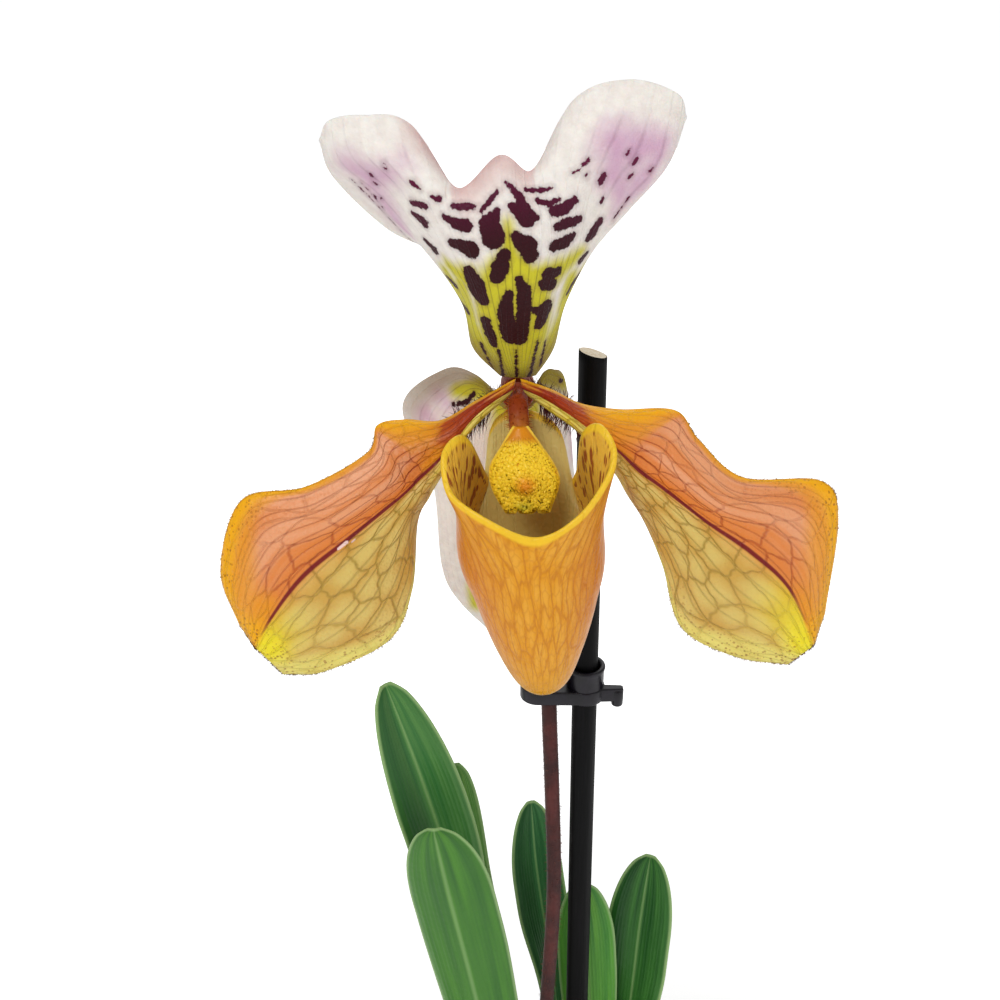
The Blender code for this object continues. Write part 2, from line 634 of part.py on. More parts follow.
def pot(finish, group):
    """A plain pot with a flat foot and a rounded rim."""
    rim = POT_WALL / 2
    profile = [
        (0.0, POT_FLOOR),
        (inner_radius(POT_FLOOR) - POT_WALL / 2, POT_FLOOR),
        (inner_radius(POT_FLOOR + POT_FILLET), POT_FLOOR + POT_FILLET),
    ]
    profile += arc((POT_RIM_RADIUS - rim, POT_HEIGHT - rim), rim, 180, 0, 4)
    profile += [
        (POT_FOOT_RADIUS + POT_FOOT_FLARE, POT_FOOT_RING),
        (POT_FOOT_RADIUS, POT_FOOT_BEVEL),
        (POT_FOOT_RADIUS - POT_FOOT_BEVEL, 0.0),
        (0.0, 0.0),
    ]
    return turned("pot", profile, finish, group)


def bark_piece(number, spot, size, turn, rng, group):
    """One chunk of bark: a box with uneven corners."""
    bm = bmesh.new()
    bmesh.ops.create_cube(bm, size=1.0)
    for vert in bm.verts:
        vert.co.x *= size[0] * rng.uniform(0.75, 1.1)
        vert.co.y *= size[1] * rng.uniform(0.75, 1.1)
        vert.co.z *= size[2] * rng.uniform(0.8, 1.1)
    made = add(f"bark_{number}", mesh_from(f"bark_{number}", bm, smooth=False), group)
    made.location = spot * MM
    made.rotation_euler = turn
    made.scale = (MM, MM, MM)
    return made


def bark_core(wall, finish, group):
    """The packed core of the bark, a slack away from the pot."""
    foot = inner_radius(POT_FLOOR + POT_FILLET) - GAP - BARK_CLEARANCE
    profile = (
        (0.0, BARK_TOP - 1.0),
        (wall * 0.6, BARK_TOP - 1.5),
        (wall - 3.0, BARK_TOP - 3.0),
        (wall - 1.0, BARK_TOP - 6.0),
        (foot, POT_FLOOR + 3.0),
        (foot - 3.0, POT_FLOOR + GAP),
        (0.0, POT_FLOOR + GAP),
    )
    return turned("potting_bark", profile, finish, group)


def bark_chunks(wall, group):
    """Chunks of bark in a spiral over the core, none of them beside a growth."""
    rng = random.Random(BARK_SEED)
    golden = math.pi * (3 - math.sqrt(5))
    chunks = []
    for number in range(BARK_PIECES):
        radius = (wall - BARK_INSET) * math.sqrt((number + 0.5) / BARK_PIECES)
        angle = number * golden
        x, y = radius * math.cos(angle), radius * math.sin(angle)
        size = (rng.uniform(*BARK_LENGTHS), rng.uniform(*BARK_WIDTHS), rng.uniform(*BARK_THICKNESSES))
        lean, roll = rng.uniform(-BARK_TILT, BARK_TILT), rng.uniform(-BARK_TILT, BARK_TILT)
        turn = (lean, roll, rng.uniform(0, math.pi))
        height = BARK_TOP - 1.5 - 2.0 * (radius / wall) ** 2 + rng.uniform(-0.8, 0.6)
        near = min((Vector((x, y)) - foot_point.xy).length for foot_point in (LEFT_CROWN, RIGHT_CROWN))
        if near > CROWN_RADIUS + BARK_CLEAR_OF_CROWN:
            chunks.append(bark_piece(number, Vector((x, y, height)), size, turn, rng, group))
    return chunks


def potting_bark(finish, group, cutters):
    """What fills the pot: a packed core with chunks standing out of its top, and plain stem holes."""
    wall = inner_radius(BARK_TOP) - GAP - BARK_CLEARANCE
    core = bark_core(wall, finish, group)
    fuse(core, bark_chunks(wall, group))
    for foot_point in (LEFT_CROWN, RIGHT_CROWN):
        base = foot_point - Vector((0, 0, HOLE_SLACK))
        top = base + Vector((0, 0, HOLE_LENGTH))
        cut(core, rod("hole_crown", base, top, CROWN_RADIUS + HOLE_SLACK, cutters))
    up = (STICK_TOP - STICK_FOOT).normalized()
    foot = STICK_FOOT - up * HOLE_SLACK
    cut(core, rod("hole_stick", foot, foot + up * HOLE_LENGTH, STICK_RADIUS + HOLE_SLACK, cutters))
    return core


def stick(finish, group):
    """The stake, its top cut at a slant."""
    return rod("stick", STICK_FOOT, STICK_TOP, STICK_RADIUS, group, finish, slant=STICK_SLANT)


def clip_link(x, y, finish, group):
    """The clip's flat link: a bore for the stake, a slot for the stem and a lever."""
    outline = arc((CLIP_LEFT, y), CLIP_HALF_DEPTH, 90, 270, 12)
    outline += arc((x, y), COLLAR_RADIUS, 245, 326, 6)
    outline += [
        (LEVER_TIP - LEVER_CORNER, y + LEVER_FRONT),
        (LEVER_TIP, y + LEVER_FRONT + LEVER_CORNER),
        (LEVER_TIP, y + LEVER_BACK - LEVER_CORNER),
        (LEVER_TIP - LEVER_CORNER, y + LEVER_BACK),
    ]
    outline += arc((x, y), COLLAR_RADIUS, -8, 115, 8)
    slot = arc((CLIP_LEFT, y), SLOT_RADIUS, 90, 270, 10) + arc((SLOT_RIGHT, y), SLOT_RADIUS, -90, 90, 10)
    bore = arc((x, y), STICK_RADIUS + CLIP_SLACK, 0, 345, 23)
    return as_mesh(plate("clip", [outline, slot, bore], CLIP_BOTTOM, CLIP_HEIGHT, finish, group))


def clip(finish, group):
    """The clip: its link, a collar round the stake and a thumb tab."""
    share = (CLIP_BOTTOM + CLIP_HEIGHT / 2 - STICK_FOOT.z) / (STICK_TOP.z - STICK_FOOT.z)
    x, y = STICK_FOOT.lerp(STICK_TOP, share).xy
    body = clip_link(x, y, finish, group)
    bore, outside = STICK_RADIUS + CLIP_SLACK, COLLAR_RADIUS - 0.1
    low = CLIP_BOTTOM + CLIP_HEIGHT - 1.0
    ring = ((bore, COLLAR_TOP), (outside, COLLAR_TOP), (outside, low), (bore, low), (bore, COLLAR_TOP))
    collar = turned("clip_collar", ring, None, group, steps=STICK_SIDES)
    collar.location = (x * MM, y * MM, 0.0)
    apply_modifiers(collar)
    tab_foot = Vector((TAB_RIGHT, y + (LEVER_FRONT + LEVER_BACK) / 2, CLIP_BOTTOM - TAB_DROP))
    tab = rod("clip_tab", tab_foot, tab_foot + Vector((0, 0, TAB_LENGTH)), TAB_RADIUS, group, sides=16)
    fuse(body, [collar, tab])
    return body


def column(finish, group):
    """The column: the hub behind the petals and the neck that carries the shield, the stigma under it."""
    body = as_mesh(tube("column", bloom(COLUMN_LINE), COLUMN_RADII, finish, group, steps=2))
    bm = bmesh.new()
    bmesh.ops.create_uvsphere(bm, u_segments=12, v_segments=8, radius=1.0)
    stigma = add("stigma", mesh_from("stigma", bm), group)
    stigma.location = Vector(bloom(STIGMA_PLACE)) * MM
    stigma.rotation_euler = (math.radians(STIGMA_TILT_DEG), 0.0, 0.0)
    stigma.scale = Vector(STIGMA_HALVES) * MM
    fuse(body, [stigma])
    return body


def main():
    """Builds the orchid."""
    clear_scene()
    group = collection("paphiopedilum_orchid")
    cutters = collection("cutters")

    ceramic = material("pot_ceramic", (0.62, 0.58, 0.53), 0.45)
    pot(ceramic, group)
    potting_bark(material("bark", (0.16, 0.08, 0.04), 0.9), group, cutters)

    stick(material("stick_black", (0.01, 0.01, 0.015), 0.5), group)
    clip(material("clip_plastic", (0.03, 0.02, 0.05), 0.4), group)

    shoot = material("shoot", (0.3, 0.4, 0.16), 0.5)
    crown("crown_left", LEFT_CROWN, shoot, group)
    crown("crown_right", RIGHT_CROWN, shoot.copy(), group)
    for name in LEAVES:
        leaf(name, material(name, (0.1, 0.25, 0.04), 0.4), group)

    stem = material("scape_maroon", (0.09, 0.02, 0.015), 0.6)
    tube("scape", SCAPE_LINE, [SCAPE_RADIUS] * 2, stem, group)
    tube("ovary", OVARY_LINE, OVARY_RADII, material("ovary_green", (0.2, 0.14, 0.05), 0.6), group)
    bract(material("bract_green", (0.25, 0.32, 0.1), 0.5), group)

    sepal = material("dorsal_sepal_white", (0.8, 0.7, 0.72), 0.5)
    blade("dorsal_sepal", net(bloom(DORSAL_SEPAL), 18, 28), SEPAL_THICKNESS, sepal, group)
    lower = material("synsepal_white", (0.75, 0.78, 0.6), 0.5)
    blade("synsepal", net(bloom(SYNSEPAL), 13, 8), SEPAL_THICKNESS, lower, group)
    petal("petal_left", LEFT_PETAL, material("petal_left_orange", (0.72, 0.3, 0.08), 0.35), group)
    petal("petal_right", RIGHT_PETAL, material("petal_right_orange", (0.72, 0.3, 0.08), 0.35), group)
    lip(material("lip_orange", (0.72, 0.36, 0.04), 0.35), group)
    column(material("column_yellow", (0.6, 0.3, 0.05), 0.5), group)
    staminode(material("staminode_gold", (0.75, 0.45, 0.02), 0.4), group)


main()
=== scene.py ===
"""The looks of a potted slipper orchid (Paphiopedilum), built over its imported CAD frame.

One open flower stands on a staked stem above two growths of strap leaves in a bark-filled pot. The frame
gives the places: this file replaces each solid by a finer piece of the same form and adds veins, spots,
warts, hairs and grain.

Sizes are in millimetres and +Z is up. The flower's own points are (right, back, up) from the middle of the
bloom, where its petals meet, and they repeat the cages of the part's source.
"""

from __future__ import annotations

import logging
import math
from collections.abc import Sequence
from dataclasses import dataclass, field
from enum import Enum

import bmesh
import bpy
import numpy as np
from mathutils import Matrix, Vector


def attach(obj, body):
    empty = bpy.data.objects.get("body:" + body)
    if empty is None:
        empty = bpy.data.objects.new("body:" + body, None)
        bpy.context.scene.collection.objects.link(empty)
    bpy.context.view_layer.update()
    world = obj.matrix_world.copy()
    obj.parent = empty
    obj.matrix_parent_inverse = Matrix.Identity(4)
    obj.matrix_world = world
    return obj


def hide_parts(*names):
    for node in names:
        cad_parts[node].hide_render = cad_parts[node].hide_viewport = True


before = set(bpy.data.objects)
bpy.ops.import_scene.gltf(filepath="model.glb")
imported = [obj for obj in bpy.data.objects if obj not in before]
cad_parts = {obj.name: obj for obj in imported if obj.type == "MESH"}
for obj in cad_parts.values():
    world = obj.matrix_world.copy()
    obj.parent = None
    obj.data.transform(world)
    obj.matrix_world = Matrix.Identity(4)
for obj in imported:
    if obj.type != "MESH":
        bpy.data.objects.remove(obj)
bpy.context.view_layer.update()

log = logging.getLogger("orchid")

MM = 0.001
ROOT = "root"
FLOWER = np.array([-14.0, -25.0, 347.0])
UV_NAME = "organ"
THIRDS = np.array([0.0, 2.0944, 4.18879])

Point = tuple[float, float, float]
Rows = tuple[tuple[Point, ...], ...]
Stroke = tuple[Point, ...]
HairList = list[tuple[np.ndarray, np.ndarray, float]]
Array = np.ndarray
Object = bpy.types.Object
Mesh = bpy.types.Mesh
Material = bpy.types.Material
Tree = bpy.types.NodeTree
Node = bpy.types.Node
Socket = bpy.types.NodeSocket
Feed = Socket | float | tuple


class Slot(str, Enum):
    """The record's material slots."""

    GLAZE = "pot_glaze"
    BARK = "bark"
    STICK = "stained_stick"
    PLASTIC = "clip_plastic"
    SHOOT = "shoot"
    LEAF = "leaf"
    STEM = "stem"
    SEPAL = "sepal"
    PETAL = "petal"
    LIP = "lip"
    COLUMN = "column"


# Cages of the flower

# Petals, from the middle of the bloom outwards: the upper edge, the midrib and the lower edge of each row
LEFT_PETAL = (
    ((-0.5, -1.9, 1.3), (-0.9, -2.2, 0.0), (-2.4, -2.0, -2.3)),
    ((-7.0, -2.0, -2.5), (-6.5, -3.5, -4.0), (-7.0, -3.0, -6.0)),
    ((-13.0, -2.0, -6.0), (-10.0, -5.5, -8.0), (-10.5, -5.0, -9.5)),
    ((-19.0, -1.5, -6.0), (-13.5, -7.0, -11.5), (-13.0, -5.5, -14.5)),
    ((-23.5, -3.0, -6.5), (-16.5, -8.0, -14.0), (-15.0, -6.5, -18.0)),
    ((-25.0, -6.5, -10.0), (-19.5, -9.5, -16.5), (-17.0, -8.0, -22.0)),
    ((-35.0, -9.0, -15.0), (-28.0, -13.0, -22.5), (-18.0, -11.5, -33.0)),
    ((-46.0, -9.0, -17.5), (-35.5, -16.0, -28.0), (-22.0, -14.0, -41.5)),
    ((-50.0, -12.0, -29.0), (-41.0, -17.5, -35.0), (-33.0, -16.0, -46.5)),
    ((-47.0, -15.5, -37.5), (-44.0, -18.0, -40.5), (-40.0, -17.0, -46.5)),
)
RIGHT_PETAL = (
    ((0.5, -1.9, 1.3), (0.9, -2.2, 0.0), (2.4, -2.0, -2.0)),
    ((5.5, -2.0, -0.5), (6.0, -3.5, -2.5), (5.5, -3.0, -4.0)),
    ((10.5, -2.0, -3.0), (10.0, -5.5, -5.0), (10.0, -5.0, -6.5)),
    ((17.0, -2.0, -4.0), (16.0, -7.0, -9.0), (16.0, -5.5, -13.5)),
    ((26.3, -2.0, -4.2), (20.0, -8.0, -12.5), (18.5, -6.5, -17.5)),
    ((30.0, -5.0, -8.2), (24.0, -9.5, -15.0), (21.5, -8.0, -22.0)),
    ((37.0, -8.5, -13.5), (31.0, -13.0, -19.5), (24.5, -11.5, -28.5)),
    ((50.0, -9.0, -14.0), (38.0, -16.0, -23.5), (28.0, -14.0, -39.0)),
    ((53.0, -11.0, -20.0), (44.5, -17.5, -29.5), (37.0, -16.0, -43.5)),
    ((51.5, -15.5, -35.5), (49.5, -18.0, -40.0), (46.0, -17.0, -44.5)),
)

# The hooded sepal, from its base up: eleven points across, from the rolled left margin to the right one
DORSAL_SEPAL = (
    (
        (-3.2, 3.2, 0.6), (-2.8, 2.4, 0.8), (-2.2, 1.7, 0.9), (-1.4, 1.3, 0.9), (-0.7, 1.1, 0.9),
        (0.0, 1.0, 0.9), (0.7, 1.1, 0.9), (1.4, 1.3, 0.9), (2.2, 1.7, 0.9), (2.8, 2.4, 0.8),
        (3.2, 3.2, 0.6),
    ),
    (
        (-7.5, 4.0, 5.5), (-7.0, 1.0, 6.5), (-5.5, -1.5, 8.0), (-4.5, -3.0, 8.5), (-2.5, -4.0, 9.0),
        (-1.0, -4.5, 9.0), (1.0, -4.0, 9.0), (3.0, -3.0, 8.5), (4.0, -1.5, 8.0), (5.5, 1.0, 6.5),
        (6.0, 4.0, 5.8),
    ),
    (
        (-7.5, 7.0, 11.5), (-9.0, 2.0, 13.5), (-7.5, -3.0, 15.0), (-6.0, -5.0, 15.5), (-3.5, -6.5, 16.0),
        (-1.0, -7.0, 16.5), (1.5, -6.5, 16.0), (4.0, -5.0, 15.5), (5.5, -3.0, 15.0), (7.5, 2.0, 13.5),
        (6.0, 7.0, 11.5),
    ),
    (
        (-13.0, 8.0, 19.5), (-14.5, 2.5, 21.5), (-12.0, -2.5, 23.0), (-9.5, -5.0, 24.0), (-5.5, -7.0, 24.5),
        (-1.5, -7.5, 25.0), (2.5, -7.0, 25.0), (6.0, -5.0, 24.0), (8.5, -2.5, 23.0), (11.5, 2.5, 21.5),
        (10.0, 8.0, 19.5),
    ),
    (
        (-21.5, 8.0, 24.0), (-22.0, 2.5, 30.0), (-17.5, -2.0, 32.0), (-13.0, -4.5, 31.5),
        (-9.0, -5.0, 30.5), (-2.5, -6.0, 33.0), (1.5, -5.0, 32.5), (5.5, -4.5, 32.0), (10.5, -3.0, 33.5),
        (17.0, 2.0, 29.0), (16.5, 8.0, 26.5),
    ),
    (
        (-29.5, 6.0, 32.5), (-28.0, 1.5, 35.5), (-22.5, -2.5, 37.5), (-14.5, -3.0, 35.5),
        (-9.0, -1.0, 31.5), (-3.0, -2.5, 36.5), (1.5, -1.0, 34.0), (6.0, -3.0, 38.0), (13.5, -3.0, 40.5),
        (22.0, 1.0, 36.0), (23.5, 5.0, 35.5),
    ),
    (
        (-31.0, 3.0, 38.5), (-29.0, 1.0, 41.5), (-23.5, -1.0, 42.5), (-16.5, 0.0, 41.0), (-9.0, 8.0, 28.2),
        (-3.0, 8.0, 34.0), (2.0, 8.0, 31.5), (8.0, 0.0, 44.5), (16.0, -1.0, 47.5), (23.5, 0.0, 45.5),
        (25.5, 2.0, 42.0),
    ),
)

# The lower sepal behind the pouch, from its base down: five points across
SYNSEPAL = (
    ((-3.2, 5.6, -5.4), (-1.7, 5.0, -6.2), (0.0, 4.8, -6.4), (1.7, 5.0, -6.2), (3.2, 5.6, -5.4)),
    ((-7.2, 10.0, -2.0), (-3.8, 7.2, -5.6), (0.0, 5.8, -7.6), (2.8, 7.2, -5.6), (4.4, 10.5, -2.2)),
    ((-13.0, 14.0, -2.3), (-6.8, 8.8, -7.0), (0.0, 6.8, -10.0), (4.0, 8.8, -7.0), (6.5, 14.0, -2.3)),
    ((-21.0, 17.0, -10.5), (-10.0, 10.0, -14.0), (0.0, 8.6, -15.0), (6.0, 10.5, -13.0), (9.0, 17.0, -6.0)),
    ((-16.0, 20.0, -27.0), (-8.5, 14.0, -27.5), (1.0, 11.5, -27.5), (7.0, 13.0, -26.5), (11.0, 18.0, -23.5)),
    ((-14.5, 18.0, -44.5), (-7.5, 15.0, -44.5), (1.5, 13.0, -43.5), (8.5, 14.5, -43.5), (13.0, 18.0, -43.0)),
    ((-11.0, 16.0, -51.5), (-5.5, 14.0, -52.0), (2.5, 12.5, -52.0), (8.5, 13.5, -51.5), (12.0, 16.0, -51.0)),
    ((-3.0, 13.0, -58.5), (0.0, 12.5, -59.0), (3.5, 12.0, -59.0), (6.5, 12.5, -58.5), (9.0, 13.0, -57.5)),
)

# The pouch: its rim from the front round by the right ear, the back and the left ear, then the body's rings
LIP_RIM = (
    (2.5, -25.0, -16.5), (9.0, -23.5, -13.5), (13.5, -19.5, -9.0), (15.0, -16.0, -5.5), (13.0, -12.0, -3.0),
    (10.5, -9.0, -5.5), (10.0, -6.0, -13.5), (8.5, -3.5, -16.0), (7.0, -1.5, -8.0), (3.5, -0.5, -5.4),
    (0.5, 0.0, -5.0), (-2.5, -0.5, -5.4), (-4.5, -1.5, -8.0), (-4.5, -3.5, -16.0), (-5.5, -6.0, -14.0),
    (-8.0, -9.0, -7.0), (-10.0, -12.0, -5.0), (-12.0, -16.0, -6.5), (-11.0, -19.5, -11.0),
    (-5.0, -23.5, -14.0),
)
LIP_RINGS = (
    # height, middle (x, y), half width, half depth
    (-22.0, 2.0, -16.0, 11.5, 9.5),
    (-31.0, 2.9, -17.5, 9.5, 8.5),
    (-39.0, 3.5, -18.5, 6.9, 7.0),
    (-45.0, 4.0, -19.3, 4.0, 4.6),
    (-48.0, 4.0, -19.7, 0.0, 0.0),
)

# The shield over the pouch's mouth, from its neck down: left edge, middle, right edge
STAMINODE = (
    ((-0.9, -9.4, -4.2), (0.2, -10.0, -4.4), (1.5, -9.4, -4.2)),
    ((-3.0, -11.0, -7.4), (0.5, -12.2, -7.0), (4.0, -11.0, -7.4)),
    ((-4.5, -12.6, -9.6), (0.9, -14.6, -9.2), (5.6, -12.6, -9.3)),
    ((-4.6, -13.6, -11.6), (1.0, -15.6, -11.2), (6.5, -13.6, -11.4)),
    ((-4.0, -14.6, -13.4), (1.1, -16.0, -13.4), (6.2, -14.6, -13.2)),
    ((-2.9, -15.7, -15.0), (1.3, -16.3, -15.1), (5.4, -15.7, -15.0)),
    ((-2.0, -16.2, -16.3), (1.4, -16.6, -16.2), (4.9, -16.2, -16.2)),
)

# The column, from behind the bloom to the stigma
COLUMN_LINE = (
    (0.0, 8.2, -2.7), (0.0, 2.3, -2.7), (0.0, 1.6, -2.7), (0.0, -4.0, -3.2), (0.3, -8.0, -6.4),
    (0.7, -10.5, -9.2), (0.9, -11.9, -11.0),
)
COLUMN_RADII = (2.9, 2.9, 1.7, 1.7, 1.6, 1.4, 1.3)

# Geometry shared by the pieces


def ease(value: Array | float, low: float, high: float) -> Array:
    """A smooth step from 0 at low to 1 at high."""
    share = np.clip((np.asarray(value, float) - low) / (high - low), 0.0, 1.0)
    return share * share * (3.0 - 2.0 * share)


def smooth_line(points: Sequence, places: Array) -> Array:
    """Points of the smooth curve through the given ones.

    Args:
        points: The curve's own points, each a point or a row of points.
        places: Where to read it, from 0 to 1.

    Returns:
        An array with a point, or a row of points, for each place.
    """
    points = np.asarray(points, float)
    last = len(points) - 1
    padded = np.concatenate([[2 * points[0] - points[1]], points, [2 * points[-1] - points[-2]]])
    at = np.clip(np.asarray(places, float) * last, 0, last)
    start = np.minimum(at.astype(int), last - 1)
    t = (at - start).reshape((-1,) + (1,) * (points.ndim - 1))
    a, b, c, d = (padded[start + step] for step in range(4))
    return 0.5 * (2 * b + (c - a) * t + (2 * a - 5 * b + 4 * c - d) * t**2 + (3 * b - a - 3 * c + d) * t**3)


def smooth_net(rows: Sequence, long: int, wide: int) -> Array:
    """A grid of points on the smooth sheet through a cage.

    Args:
        rows: The cage's rows of points.
        long: Cells along the sheet.
        wide: Cells across it.

    Returns:
        An array of (long + 1) by (wide + 1) points.
    """
    down = smooth_line(rows, np.linspace(0, 1, long + 1))
    return np.swapaxes(smooth_line(np.swapaxes(down, 0, 1), np.linspace(0, 1, wide + 1)), 0, 1)


def unit(vectors: Array) -> Array:
    """The vectors at length one."""
    return vectors / np.maximum(np.linalg.norm(vectors, axis=-1, keepdims=True), 1e-9)


def bloom(points: Sequence) -> Array:
    """Flower points as places in the object."""
    return np.asarray(points, float) + FLOWER


def new_object(name: str, data: bpy.types.ID | None, finish: Material | None = None) -> Object:
    """An object in the scene.

    Args:
        name: Its name.
        data: Its mesh, curve, lamp or camera.
        finish: Its material.

    Returns:
        The new object.
    """
    made = bpy.data.objects.new(name, data)
    bpy.context.scene.collection.objects.link(made)
    if finish:
        data.materials.append(finish)
    return made


def add_piece(name: str, mesh: Mesh, finish: Material, slot: Slot, *nodes: str) -> None:
    """Adds a piece, fixes it to the frame and logs it.

    Args:
        name: Its name.
        mesh: Its mesh.
        finish: Its material.
        slot: The record's material slot for it; not used.
        nodes: The CAD nodes that it stands for.
    """
    piece = new_object(name, mesh, finish)
    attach(piece, ROOT)
    if nodes:
        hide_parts(*nodes)
    log.info("%s stands for %s", piece.name, ", ".join(nodes) or "no node")


@dataclass
class Skin:
    """A thin body on a grid of points, with a rounded margin.

    Its mesh carries a UV map, across by along, and the attributes edge (millimetres from the free margin)
    and back (1 on the back face), besides those in marks.
    """

    grid: Array
    thickness: float
    front: Point = (0.0, -1.0, 0.0)
    closed: bool = False
    edge_share: float = 0.35
    edge_width: float = 1.2
    marks: dict[str, Array] = field(default_factory=dict)

    def normals(self) -> Array:
        """The front's unit normals at each point."""
        grid = self.grid
        if self.closed:
            around = np.roll(grid, -1, 1) - np.roll(grid, 1, 1)
        else:
            around = np.gradient(grid, axis=1)
        found = unit(np.cross(np.gradient(grid, axis=0), around))
        if self.closed:
            found[-1] = unit(found[-2].mean(0))
            outward = grid - grid.mean(1, keepdims=True)
            sign = np.sum(found[: len(grid) // 2] * outward[: len(grid) // 2])
        else:
            sign = np.sum(found @ np.asarray(self.front))
        return found if sign > 0 else -found

    def edge(self) -> Array:
        """How far each point is from the free margin: both sides and the tip, or a closed skin's rim."""
        along = np.linalg.norm(np.diff(self.grid, axis=0), axis=2)
        from_base = np.concatenate([np.zeros((1, self.grid.shape[1])), np.cumsum(along, 0)])
        if self.closed:
            return from_base
        across = np.linalg.norm(np.diff(self.grid, axis=1), axis=2)
        from_left = np.concatenate([np.zeros((self.grid.shape[0], 1)), np.cumsum(across, 1)], 1)
        return np.minimum.reduce([from_base[-1] - from_base, from_left, from_left[:, -1:] - from_left])

    def thick(self) -> Array:
        """The thickness at each point, thinner at the margin."""
        share = self.edge_share + (1 - self.edge_share) * ease(self.edge(), 0.0, self.edge_width)
        return self.thickness * share

    def border(self) -> tuple[Array, Array]:
        """The margin's grid indices in order, and the unit directions that point out of the blade there."""
        long, wide = self.grid.shape[:2]
        index = np.arange(long * wide).reshape(long, wide)
        if self.closed:
            out = unit(self.grid[0] - self.grid[1])
            return index[0], out
        ring = np.concatenate([index[0, :-1], index[:-1, -1], index[-1, :0:-1], index[:0:-1, 0]])
        out_base = unit(self.grid[0] - self.grid[1])[:-1]
        out_right = unit(self.grid[:, -1] - self.grid[:, -2])[:-1]
        out_tip = unit(self.grid[-1] - self.grid[-2])[:0:-1]
        out_left = unit(self.grid[:, 0] - self.grid[:, 1])[:0:-1]
        out = np.concatenate([out_base, out_right, out_tip, out_left])
        return ring, unit(out + np.roll(out, 1, 0) + np.roll(out, -1, 0))

    def mesh(self, name: str) -> Mesh:
        """The closed mesh of both faces and the rounded margin.

        Args:
            name: The mesh's name.

        Returns:
            The mesh, with its UV map and attributes.
        """
        long, wide = self.grid.shape[:2]
        count = long * wide
        normal = self.normals().reshape(-1, 3)
        flat = self.grid.reshape(-1, 3)
        half = (self.thick() / 2).reshape(-1, 1)
        ring, out = self.border()
        rim = flat[ring] + out * half[ring] * 0.8
        verts = np.concatenate([flat + normal * half, flat - normal * half, rim]) * MM
        index = np.arange(count).reshape(long, wide)
        right = np.roll(index, -1, 1) if self.closed else index[:, 1:]
        left = index if self.closed else index[:, :-1]
        quads = np.stack([left[:-1], right[:-1], right[1:], left[1:]], -1).reshape(-1, 4)
        rim_index = 2 * count + np.arange(len(ring))
        ahead, ahead_rim = np.roll(ring, -1), np.roll(rim_index, -1)
        strip_front = np.stack([ring, rim_index, ahead_rim, ahead], -1)
        strip_back = np.stack([rim_index, ring + count, ahead + count, ahead_rim], -1)
        faces = [*quads.tolist(), *(quads[:, ::-1] + count).tolist()]
        faces += [*strip_front.tolist(), *strip_back.tolist()]
        if self.closed:
            faces += [index[-1].tolist(), (index[-1][::-1] + count).tolist()]
        mesh = bpy.data.meshes.new(name)
        mesh.from_pydata(verts.tolist(), [], faces)
        across = np.tile(np.arange(wide) / (wide if self.closed else wide - 1), long)
        along = np.repeat(np.arange(long) / (long - 1), wide)
        write_map(mesh, *(np.concatenate([part, part, part[ring]]) for part in (across, along)), self.closed)
        for label, values in {"edge": self.edge(), **self.marks}.items():
            flat_values = values.reshape(-1)
            write_attribute(mesh, label, np.concatenate([flat_values, flat_values, flat_values[ring]]))
        write_attribute(mesh, "back", np.repeat([0.0, 1.0, 0.5], [count, count, len(ring)]))
        return tidy_mesh(mesh)


def write_map(mesh: Mesh, across: Array, along: Array, closed: bool) -> None:
    """Writes the UV map, across by along.

    Args:
        mesh: The mesh.
        across: Each vertex's share across the piece.
        along: Its share along the piece.
        closed: Whether the piece closes on itself across, so that its last faces run on past 1.
    """
    corners = np.zeros(len(mesh.loops), np.int64)
    mesh.loops.foreach_get("vertex_index", corners)
    u, v = across[corners], along[corners]
    if closed:
        face_of = np.repeat(np.arange(len(mesh.polygons)), [len(face.vertices) for face in mesh.polygons])
        highest = np.zeros(len(mesh.polygons))
        np.maximum.at(highest, face_of, u)
        u = np.where((highest[face_of] > 0.75) & (u < 0.25), u + 1.0, u)
    mesh.uv_layers.new(name=UV_NAME).data.foreach_set("uv", np.stack([u, v], -1).ravel())


def write_attribute(mesh: Mesh, name: str, values: Array) -> None:
    """Writes one number per vertex that the mesh's material reads by name."""
    attribute = mesh.attributes.new(name, "FLOAT", "POINT")
    attribute.data.foreach_set("value", np.asarray(values, np.float32))


def tidy_mesh(mesh: Mesh) -> Mesh:
    """Turns the faces of a closed mesh outwards and shades it smooth."""
    bm = bmesh.new()
    bm.from_mesh(mesh)
    bmesh.ops.recalc_face_normals(bm, faces=bm.faces)
    bm.to_mesh(mesh)
    bm.free()
    mesh.shade_smooth()
    return mesh


@dataclass(frozen=True)
class Viewpoint:
    """Where the photograph was taken from: the camera's place, its dip below the horizon and its lens."""

    place: Point = (-17.0, -200.0, 407.0)
    dip_deg: float = 25.0
    lens: float = 39.6
    sensor: float = 36.0

    def seen(self, points: Array) -> Array:
        """Where points appear from here, in millimetres (right, up) from the bloom's middle at its distance.

        Args:
            points: Places in the object, in millimetres.

        Returns:
            An array of (right, up) pairs.
        """
        dip = math.radians(self.dip_deg)
        ahead = np.array([0.0, math.cos(dip), -math.sin(dip)])
        up = np.array([0.0, math.sin(dip), math.cos(dip)])
        right = np.array([1.0, 0.0, 0.0])
        axes = np.stack([right, up], 1)
        offset = np.asarray(points, float) - np.asarray(self.place)
        middle = FLOWER - np.asarray(self.place)
        depth = offset @ ahead
        distance = middle @ ahead
        return (offset @ axes) / depth[..., None] * distance - middle @ axes


VIEW = Viewpoint()


